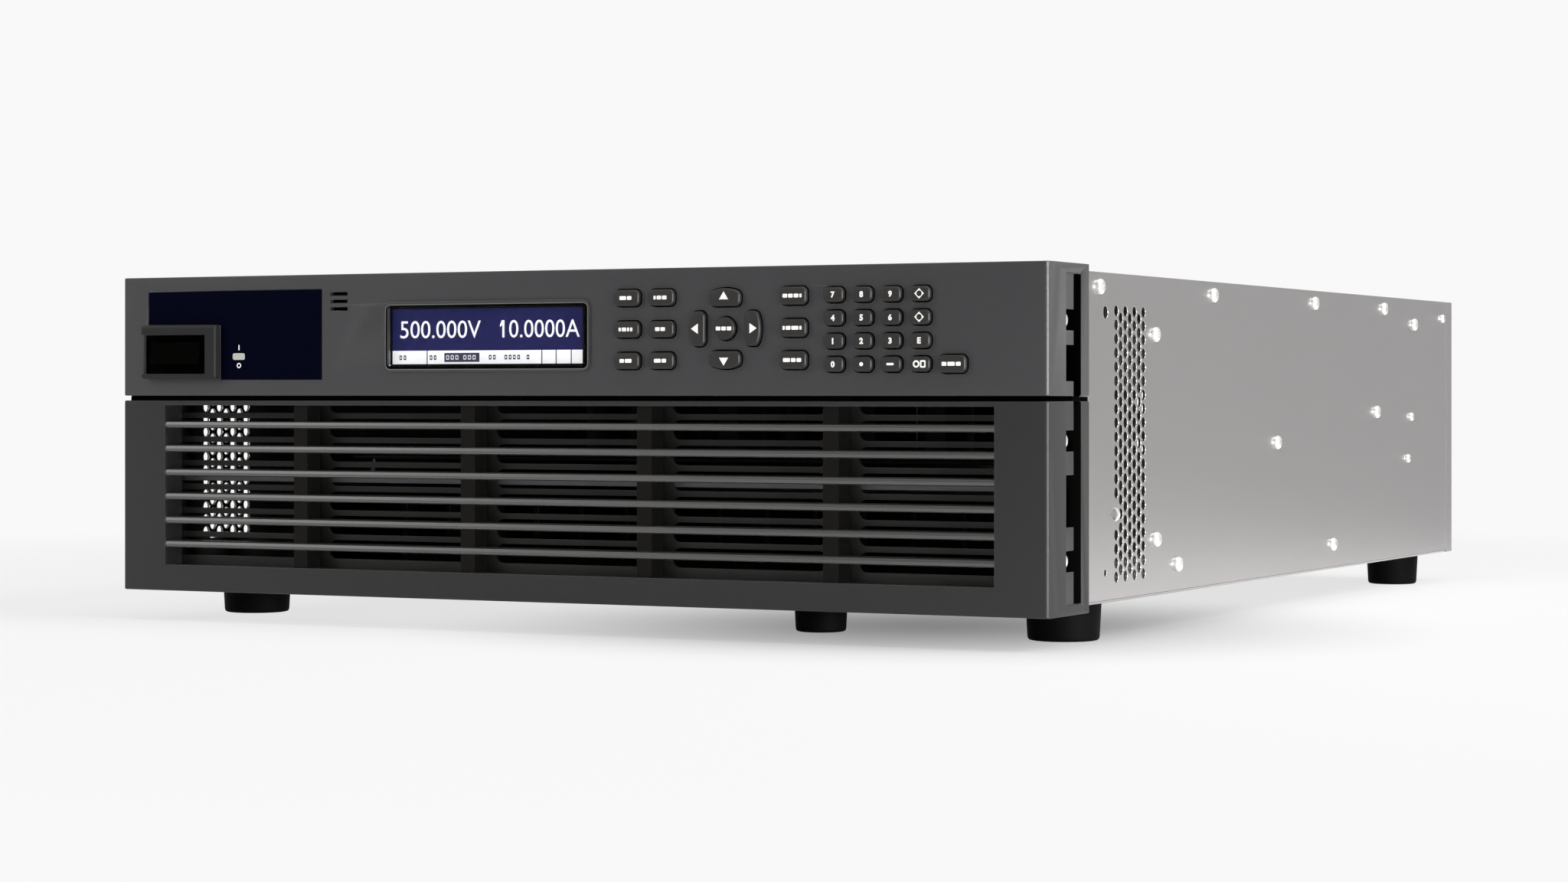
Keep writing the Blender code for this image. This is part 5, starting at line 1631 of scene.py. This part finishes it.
@dataclass
class Case:
    """The sheet metal case with its vents and screws."""

    bench: Bench
    screws: Screws
    vent_radius: float = 2.05 * MM
    vent_rim: float = 0.25 * MM
    rim_steps: int = 2
    hole_sides: int = 16
    vent_rows: int = 20
    vent_columns: int = 7
    vent_row_pitch: float = 5.46 * MM
    vent_column_pitch: float = 4.95 * MM
    vent_base: float = 9.55 * MM
    vent_start: dict[str, float] = field(default_factory=lambda: {"right": 40.6 * MM, "left": 21.0 * MM})
    tab_place: Point = (72.5 * MM, 36.4 * MM)
    tab_clearance: float = 4.6 * MM
    tab_rise: float = 1.5 * MM
    tab_height: float = 5.4 * MM
    tab_steps: int = 8
    tab_section: tuple[Point, ...] = ((-0.9, -0.2), (0.9, -0.2), (0.9, 0.4), (-0.9, 0.4))
    tab_smooth: float = 50.0
    hem_radius: float = 1.1 * MM
    hem_steps: int = 6
    panel_margin: float = 3.0 * MM
    edge: float = 0.25 * MM
    upper_hole: tuple[float, float, float] = (62.7 * MM, 114.8 * MM, 2.4 * MM)
    lower_hole: tuple[float, float, float] = (62.4 * MM, 14.0 * MM, 1.3 * MM)
    slot_size: Point = (68.0 * MM, 7.8 * MM)
    slot_corner: float = 3.4 * MM
    bays: int = 5
    slot_rows: int = 7
    bay_pitch: float = 81.6 * MM
    slot_pitch: float = 10.1 * MM
    slot_top: float = 79.2 * MM
    large_screws: tuple[Point, ...] = (
        (55.8, 124.6),
        (185.3, 124.6),
        (321.4, 124.5),
        (428.7, 124.4),
        (479.7, 117.7),
        (116.2, 107.1),
        (268.0, 61.9),
        (416.6, 74.7),
        (117.2, 25.0),
        (142.1, 14.0),
        (348.1, 13.9),
    )
    small_screws: tuple[Point, ...] = ((530.1, 121.6), (474.5, 72.0), (468.8, 51.5))
    large_head: Point = (3.1 * MM, 1.95 * MM)
    small_head: Point = (2.2 * MM, 1.6 * MM)
    baffle: tuple[float, float, float, float] = (68.5 * MM, 109.5 * MM, 84.3 * MM, 112.4 * MM)
    baffle_tab: tuple[float, float, float, float] = (58.5 * MM, 68.5 * MM, 108.0 * MM, 119.0 * MM)
    baffle_gap: float = 0.5 * MM
    screen: tuple[float, float, float, float] = (66.0 * MM, 112.0 * MM, 21.0 * MM, 84.0 * MM)
    screen_gap: float = 5.6 * MM
    sheet: float = 0.8 * MM
    ear_screws: tuple[float, ...] = (20.3, 65.6, 111.1)
    ear_screw_y: float = 21.75 * MM
    ear_screw_face: float = 1.65 * MM
    ear_radius: float = 3.5 * MM
    ear_notch: float = 8.0 * MM

    def build(self) -> None:
        """Dress every sheet and drive the screws."""
        self._panel("right", 1.0)
        self._panel("left", -1.0)
        self._front_sheet()
        for node, inward in (
            ("top_cover", Vector((0.0, 0.0, -1.0))),
            ("rear_panel", Vector((0.0, -1.0, 0.0))),
            ("base_tray", Vector((0.0, 0.0, 1.0))),
        ):
            sheet = self.bench.soften(node, "case_sheet", self.edge)

            def within(face: bpy.types.MeshPolygon, inward: Vector = inward) -> bool:
                """Tell whether a face looks into the case."""
                return face.normal.dot(inward) > FACING

            # Paint the faces that look into the case dark, as shade.
            self.bench.recolour(sheet, "dark_sheet_and_painted_shade", within)
        self.bench.soften("mid_shelf", "shelf_sheet", self.edge)
        self._baffles()
        self._ear_screws()

    def _baffles(self) -> None:
        """Stand a pale baffle behind the upper vents of the right panel, and a dark sheet behind the lower
        vents as painted shade.
        """
        front, base = self.bench.origin()
        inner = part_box("right_side_panel")[0].x
        for name, finish, spans, gap in (
            ("vent_baffle", "shelf_sheet", (self.baffle, self.baffle_tab), self.baffle_gap),
            ("vent_shade_sheet", "dark_sheet_and_painted_shade", (self.screen,), self.screen_gap),
        ):
            shapes = []
            for y0, y1, z0, z1 in spans:
                outline = [(y + front, z + base) for y, z in Draw.rectangle(y0, y1, z0, z1)]
                shapes.append(Draw.prism(outline, Axis.X, inner - gap - self.sheet, inner - gap))
            self.bench.place(name, Draw.together(shapes), finish)

    def _panel(self, side: str, sign: float) -> None:
        """Make a side panel with round vent holes and a hem, and its screws.

        Args:
            side: Which side.
            sign: Direction of X that it faces.
        """
        node = f"{side}_side_panel"
        low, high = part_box(node)
        front, base = self.bench.origin()
        face = high.x if sign > 0 else low.x
        back = low.x if sign > 0 else high.x
        holes = self._vents(side, Vector((0.0, low.y, low.z)), Vector((0.0, front, base)))
        if side == "right":
            for y, z, radius in (self.upper_hole, self.lower_hole):
                holes.append(Draw.circle((y + front, z + base), radius, self.hole_sides))
        outline = Draw.rectangle(low.y, high.y, low.z + self.hem_radius, high.z)
        sheet = Draw.plate(outline, holes, Axis.X, back, face)
        hem = Draw.prism(self._hem(back, face, low.z), Axis.Y, low.y, high.y)
        panel = Draw.together([sheet, hem])
        piece = self.bench.place(
            f"{node}_sheet", panel, "case_sheet", slot="chassis_steel", replaces=[node]
        )
        margin = self.panel_margin

        def inside(facet: bpy.types.MeshPolygon) -> bool:
            """Tell whether a face is the panel's back or the wall of a hole, which are painted dark as
            shade.
            """
            spot = facet.center
            across = low.y + margin < spot.y < high.y - margin
            wall = abs(facet.normal.x) < FACING and across and low.z + margin < spot.z < high.z - margin
            return wall or facet.normal.x * sign < -FACING

        self.bench.recolour(piece, "dark_sheet_and_painted_shade", inside)
        rims = piece.modifiers.new("rolled_rims", "BEVEL")
        rims.width = self.vent_rim
        rims.segments = self.rim_steps
        rims.harden_normals = True
        rims.use_clamp_overlap = False
        # The rims keep the case finish, whose pale edges give them a painted highlight.
        rims.material = 0
        if side == "right":
            self._tab(Vector((face, self.tab_place[0] + front, self.tab_place[1] + base)))
        facing = Vector((sign, 0.0, 0.0))
        for label, spots, radius, height in (
            ("large", self.large_screws, *self.large_head),
            ("small", self.small_screws, *self.small_head),
        ):
            places = [Vector((face, y * MM + front, z * MM + base)) for y, z in spots]
            self.screws.drive(f"{side}_{label}_screws", places, facing, radius, height)

    def _vents(self, side: str, corner: Vector, origin: Vector) -> list[Outline]:
        """Return the vent holes of a side panel, clear of its tab.

        Args:
            side: Which side.
            corner: Lower front corner of the panel.
            origin: Lower front corner of the bezels.

        Returns:
            Outlines of the holes in Y and Z.
        """
        holes = []
        tab = Vector((self.tab_place[0] + origin.y, self.tab_place[1] + origin.z))
        for column in range(self.vent_columns):
            odd = column % 2
            y = corner.y + self.vent_start[side] + column * self.vent_column_pitch
            for row in range(self.vent_rows - odd):
                z = corner.z + self.vent_base + (row + odd / 2) * self.vent_row_pitch
                if side == "left" or (Vector((y, z)) - tab).length > self.tab_clearance:
                    holes.append(Draw.circle((y, z), self.vent_radius, self.hole_sides))
        return holes

    def _hem(self, back: float, face: float, base: float) -> Outline:
        """Return the section of a panel's lower edge, rounded to the outside.

        Args:
            back: Inner face of the panel.
            face: Outer face of the panel.
            base: Its lower edge.

        Returns:
            The section in X and Z.
        """
        radius = self.hem_radius
        sign = 1.0 if face > back else -1.0
        section = [(back, base + radius), (back, base)]
        for step in range(self.hem_steps + 1):
            angle = step / self.hem_steps * math.pi / 2
            x = face - sign * radius * (1.0 - math.sin(angle))
            section.append((x, base + radius * (1.0 - math.cos(angle))))
        return section

    def _tab(self, place: Vector) -> None:
        """Bend a small tab out of the right panel.

        Args:
            place: Middle of the tab on the panel's outer face.
        """
        rings = []
        for step in range(self.tab_steps + 1):
            share = step / self.tab_steps
            rise = math.sin(share * math.pi) * self.tab_rise
            z = place.z + (share - 0.5) * self.tab_height
            ring = []
            for a, b in self.tab_section:
                ring.append(Vector((place.x + rise + b * MM, place.y + a * MM, z)))
            rings.append(ring)
        self.bench.place("right_side_tab", Draw.loft(rings), "screw_zinc", smooth=self.tab_smooth)

    def _front_sheet(self) -> None:
        """Make the slotted sheet behind the grille with round slot ends."""
        low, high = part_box("front_sheet")
        _, base = self.bench.origin()
        slots = []
        for bay in range(self.bays):
            x = (bay - self.bays // 2) * self.bay_pitch
            for row in range(self.slot_rows):
                z = base + self.slot_top - row * self.slot_pitch
                slots.append(Draw.rounded((x, z), self.slot_size, self.slot_corner))
        outline = Draw.rectangle(low.x, high.x, low.z, high.z)
        sheet = Draw.plate(outline, slots, Axis.Y, low.y, high.y)
        self.bench.place(
            "front_sheet_slotted", sheet, "dark_sheet_and_painted_shade", slot="dark_sheet", replaces=["front_sheet"]
        )

    def _ear_screws(self) -> None:
        """Drive the screws that look to the side from the notches of the bezels."""
        low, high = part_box("upper_bezel")
        front, base = self.bench.origin()
        height = self.ear_notch - self.ear_screw_face
        for side, edge, sign in (("right", high.x, 1.0), ("left", low.x, -1.0)):
            x = edge - sign * self.ear_notch
            places = [Vector((x, front + self.ear_screw_y, z * MM + base)) for z in self.ear_screws]
            facing = Vector((sign, 0.0, 0.0))
            self.screws.drive(f"{side}_ear_screws", places, facing, self.ear_radius, height, False)


@dataclass
class Underside:
    """Turned rubber feet in place of the plain ones."""

    bench: Bench
    sides: int = 48
    taper: float = 0.7 * MM
    rounding: tuple[Point, ...] = (
        (1.6 * MM, 0.0),
        (0.7 * MM, 0.2 * MM),
        (0.2 * MM, 0.7 * MM),
        (0.0, 1.6 * MM),
    )

    def build(self) -> None:
        """Make each foot."""
        for name in ("front_left", "front_right", "front_middle", "rear_left", "rear_right"):
            node = f"foot_{name}"
            low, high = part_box(node)
            middle = Vector(((low.x + high.x) / 2, (low.y + high.y) / 2, low.z))
            radius = (high.x - low.x) / 2
            foot = radius - self.taper
            profile = [(foot - inset, rise) for inset, rise in self.rounding]
            rings = []
            for reach, rise in (*profile, (radius, high.z - low.z)):
                circle = Draw.circle((middle.x, middle.y), reach, self.sides)
                rings.append([Vector((a, b, low.z + rise)) for a, b in circle])
            turned = Draw.loft(rings)
            self.bench.place(
                f"{node}_turned", turned, "foot_rubber", slot="foot_rubber", replaces=[node]
            )


@dataclass
class RearFittings:
    """Fans, mains inlet and output bars."""

    bench: Bench
    screws: Screws
    fan_edge: float = 0.4 * MM
    blade_edge: float = 0.3 * MM
    inlet_edge: float = 0.35 * MM
    bar_edge: float = 0.4 * MM
    fan_screw_inset: float = 7.0 * MM
    fan_head: Point = (3.2 * MM, 2.2 * MM)

    def build(self) -> None:
        """Dress the rear pieces and drive the fan screws."""
        for side in ("right", "left"):
            rotor = f"{side}_fan_rotor"
            self.bench.soften(f"{side}_fan_frame", "fan_black", self.fan_edge)
            self.bench.soften(rotor, "fan_black", self.blade_edge, body=rotor)
        self.bench.soften("mains_inlet", "inlet_black", self.inlet_edge)
        for name in ("positive", "negative"):
            self.bench.soften(f"output_bar_{name}", "bar_tin", self.bar_edge)
        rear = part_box("rear_panel")[1].y
        places = []
        for side in ("right", "left"):
            low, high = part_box(f"{side}_fan_frame")
            inset = self.fan_screw_inset
            for x in (low.x + inset, high.x - inset):
                for z in (low.z + inset, high.z - inset):
                    places.append(Vector((x, rear, z)))
        self.screws.drive("fan_screws", places, Vector((0.0, 1.0, 0.0)), *self.fan_head)


@dataclass
class Inside:
    """Boards, heatsink and display module."""

    bench: Bench

    def build(self) -> None:
        """Dress the inner pieces."""
        for node, finish, width in (
            ("display_module", "black_and_painted_shade", 0.3 * MM),
            ("keypad_board", "board_green", 0.15 * MM),
            ("power_board", "board_green", 0.25 * MM),
            ("heatsink", "sink_black", 0.3 * MM),
        ):
            self.bench.soften(node, finish, width)


@dataclass(frozen=True)
class Lamp:
    """A square soft lamp that looks at the part. Without matt it only shows as a gleam."""

    name: str
    place: tuple[float, float, float]
    size: float
    power: float
    matt: bool = True
    aim: tuple[float, float, float] = (0.0, 0.0, 0.08)

    def hang(self) -> None:
        """Put the lamp into the scene."""
        data = bpy.data.lights.new(self.name, "AREA")
        data.size = self.size
        data.energy = self.power
        lamp = bpy.data.objects.new(self.name, data)
        lamp.location = self.place
        lamp.visible_diffuse = self.matt
        look = Vector(self.aim) - Vector(self.place)
        lamp.rotation_euler = look.to_track_quat("-Z", "Y").to_euler()
        bpy.context.scene.collection.objects.link(lamp)


LAMPS = (
    Lamp("key_lamp", (-0.75, -0.85, 0.55), 0.5, 3.4),
    Lamp("corner_lamp", (1.6, -0.9, 0.07), 0.14, 110.0, matt=False),
    Lamp("side_lamp", (1.9, 0.0, 1.6), 1.2, 66.0),
    Lamp("top_lamp", (0.25, -0.25, 2.0), 1.4, 26.0),
)


@dataclass
class Studio:
    """Camera, lamps, floor and the plain white surroundings."""

    camera_place: Vector = field(default_factory=lambda: Vector((0.68904, -1.44191, 0.09603)))
    camera_turn: float = math.radians(26.8467)
    lens: float = 77.487
    sensor: float = 36.0
    clip: float = 0.05
    shift_y: float = -0.03013
    floor_half: float = 6.0
    floor_roughness: float = 0.85
    floor_shade: float = 0.86
    seen_shade: float = 0.14
    shadow_place: Vector = field(default_factory=lambda: Vector((0.113, -0.166, 0.0)))
    shadow_reach: float = 0.23
    shadow_glow: float = 0.23
    floor_glow: float = 0.73
    white: float = 0.945
    fade_start: float = 0.45
    fade_end: float = 0.95
    surround: float = 0.15

    def build(self) -> None:
        """Set up the view, the light and the floor."""
        bpy.context.scene.view_settings.view_transform = "Standard"
        self._camera()
        self._world()
        self._floor()
        for lamp in LAMPS:
            lamp.hang()

    def _camera(self) -> None:
        """Place the camera where the photograph was taken from."""
        data = bpy.data.cameras.new("photo_camera")
        data.lens = self.lens
        data.sensor_width = self.sensor
        data.shift_y = self.shift_y
        data.clip_start = self.clip
        camera = bpy.data.objects.new("photo_camera", data)
        camera.location = self.camera_place
        camera.rotation_euler = (math.pi / 2, 0.0, self.camera_turn)
        bpy.context.scene.collection.objects.link(camera)
        bpy.context.scene.camera = camera

    def _world(self) -> None:
        """Make a white surround that lights the part more softly than it shows."""
        world = bpy.data.worlds.new("white_room")
        bpy.context.scene.world = world
        world.use_nodes = True
        wiring = Wiring(world.node_tree)
        sky = world.node_tree.nodes["Background"]
        sky.inputs["Color"].default_value = grey(1.0)
        seen = wiring.math("MULTIPLY", self._shown(wiring), self.white)
        strength = wiring.math("MAXIMUM", seen, self.surround)
        wiring.feed(strength, sky.inputs["Strength"])

    @staticmethod
    def _shown(wiring: Wiring) -> bpy.types.NodeSocket:
        """Return a value of 1 for rays that show the surroundings rather than light the part.

        Args:
            wiring: The wiring of the world or a material.

        Returns:
            The value's socket.
        """
        path = wiring.add("ShaderNodeLightPath")
        seen = wiring.math("MAXIMUM", path.outputs["Is Camera Ray"], path.outputs["Is Transmission Ray"])
        return wiring.math("MAXIMUM", seen, path.outputs["Is Glossy Ray"])

    def _floor(self) -> None:
        """Lay a pale floor that keeps the part's shadow and fades into the white behind it. Its glow is
        weakest round one place under the front right, so the shadow shows darkest there: painted shade.
        """
        mesh = bpy.data.meshes.new("floor")
        half = self.floor_half
        corners = [(x, y, 0.0) for x, y in Draw.rectangle(-half, half, -half, half)]
        mesh.from_pydata(corners, [], [(0, 1, 2, 3)])
        floor = bpy.data.objects.new("floor", mesh)
        material, wiring, shader = start_material("pale_floor")
        shader.inputs["Roughness"].default_value = self.floor_roughness
        shader.inputs["Specular IOR Level"].default_value = 0.0
        shader.inputs["Emission Color"].default_value = grey(1.0)
        path = wiring.add("ShaderNodeLightPath")
        near = wiring.blend(path.outputs["Is Camera Ray"], grey(self.floor_shade), grey(self.seen_shade))
        share = self._ramp(wiring, Vector(), self.fade_start, self.fade_end, 0.0, 1.0)
        wiring.feed(wiring.blend(share, near, grey(0.0)), shader.inputs["Base Color"])
        # Less glow round the shadow place, more further off: painted shade that keeps the shadow darkest
        # under the front right.
        lift = self._ramp(
            wiring, self.shadow_place, 0.0, self.shadow_reach, self.shadow_glow, self.floor_glow
        )
        rest = wiring.math("SUBTRACT", self.white, lift)
        glow = wiring.math("ADD", lift, wiring.math("MULTIPLY", share, rest))
        wiring.feed(wiring.math("MULTIPLY", glow, self._shown(wiring)), shader.inputs["Emission Strength"])
        mesh.materials.append(material)
        bpy.context.scene.collection.objects.link(floor)

    @staticmethod
    def _ramp(
        wiring: Wiring, centre: Vector, near: float, far: float, first: float, last: float
    ) -> bpy.types.NodeSocket:
        """Return a value that changes softly with the distance from a place on the floor.

        Args:
            wiring: The floor's wiring.
            centre: The place.
            near: Distance where the change starts.
            far: Distance where it ends.
            first: Value up to the start.
            last: Value from the end on.

        Returns:
            The value's socket.
        """
        place = wiring.add("ShaderNodeTexCoord")
        reach = wiring.add("ShaderNodeVectorMath", operation="DISTANCE")
        wiring.feed(place.outputs["Object"], reach.inputs[0])
        wiring.feed(centre, reach.inputs[1])
        ramp = wiring.add("ShaderNodeMapRange", interpolation_type="SMOOTHSTEP")
        for name, value in (("From Min", near), ("From Max", far), ("To Min", first), ("To Max", last)):
            wiring.feed(value, ramp.inputs[name])
        wiring.feed(reach.outputs["Value"], ramp.inputs["Value"])
        return ramp.outputs["Result"]


def clear_start() -> None:
    """Remove what the start file holds."""
    for item in list(bpy.data.objects):
        bpy.data.objects.remove(item)


def main() -> None:
    """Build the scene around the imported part."""
    logging.basicConfig(level=logging.INFO, format="%(name)s: %(message)s")
    clear_start()
    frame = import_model()
    Studio().build()
    bench = Bench(frame, EffectShelf())
    bench.prepare()
    screws = Screws(bench)
    keypad = Keypad(bench)
    for assembly in (
        FrontPanel(bench, keypad),
        PowerSwitch(bench),
        Display(bench),
        keypad,
        Case(bench, screws),
        Underside(bench),
        RearFittings(bench, screws),
        Inside(bench),
    ):
        assembly.build()
    bpy.context.view_layer.update()


if __name__ == "__main__":
    main()
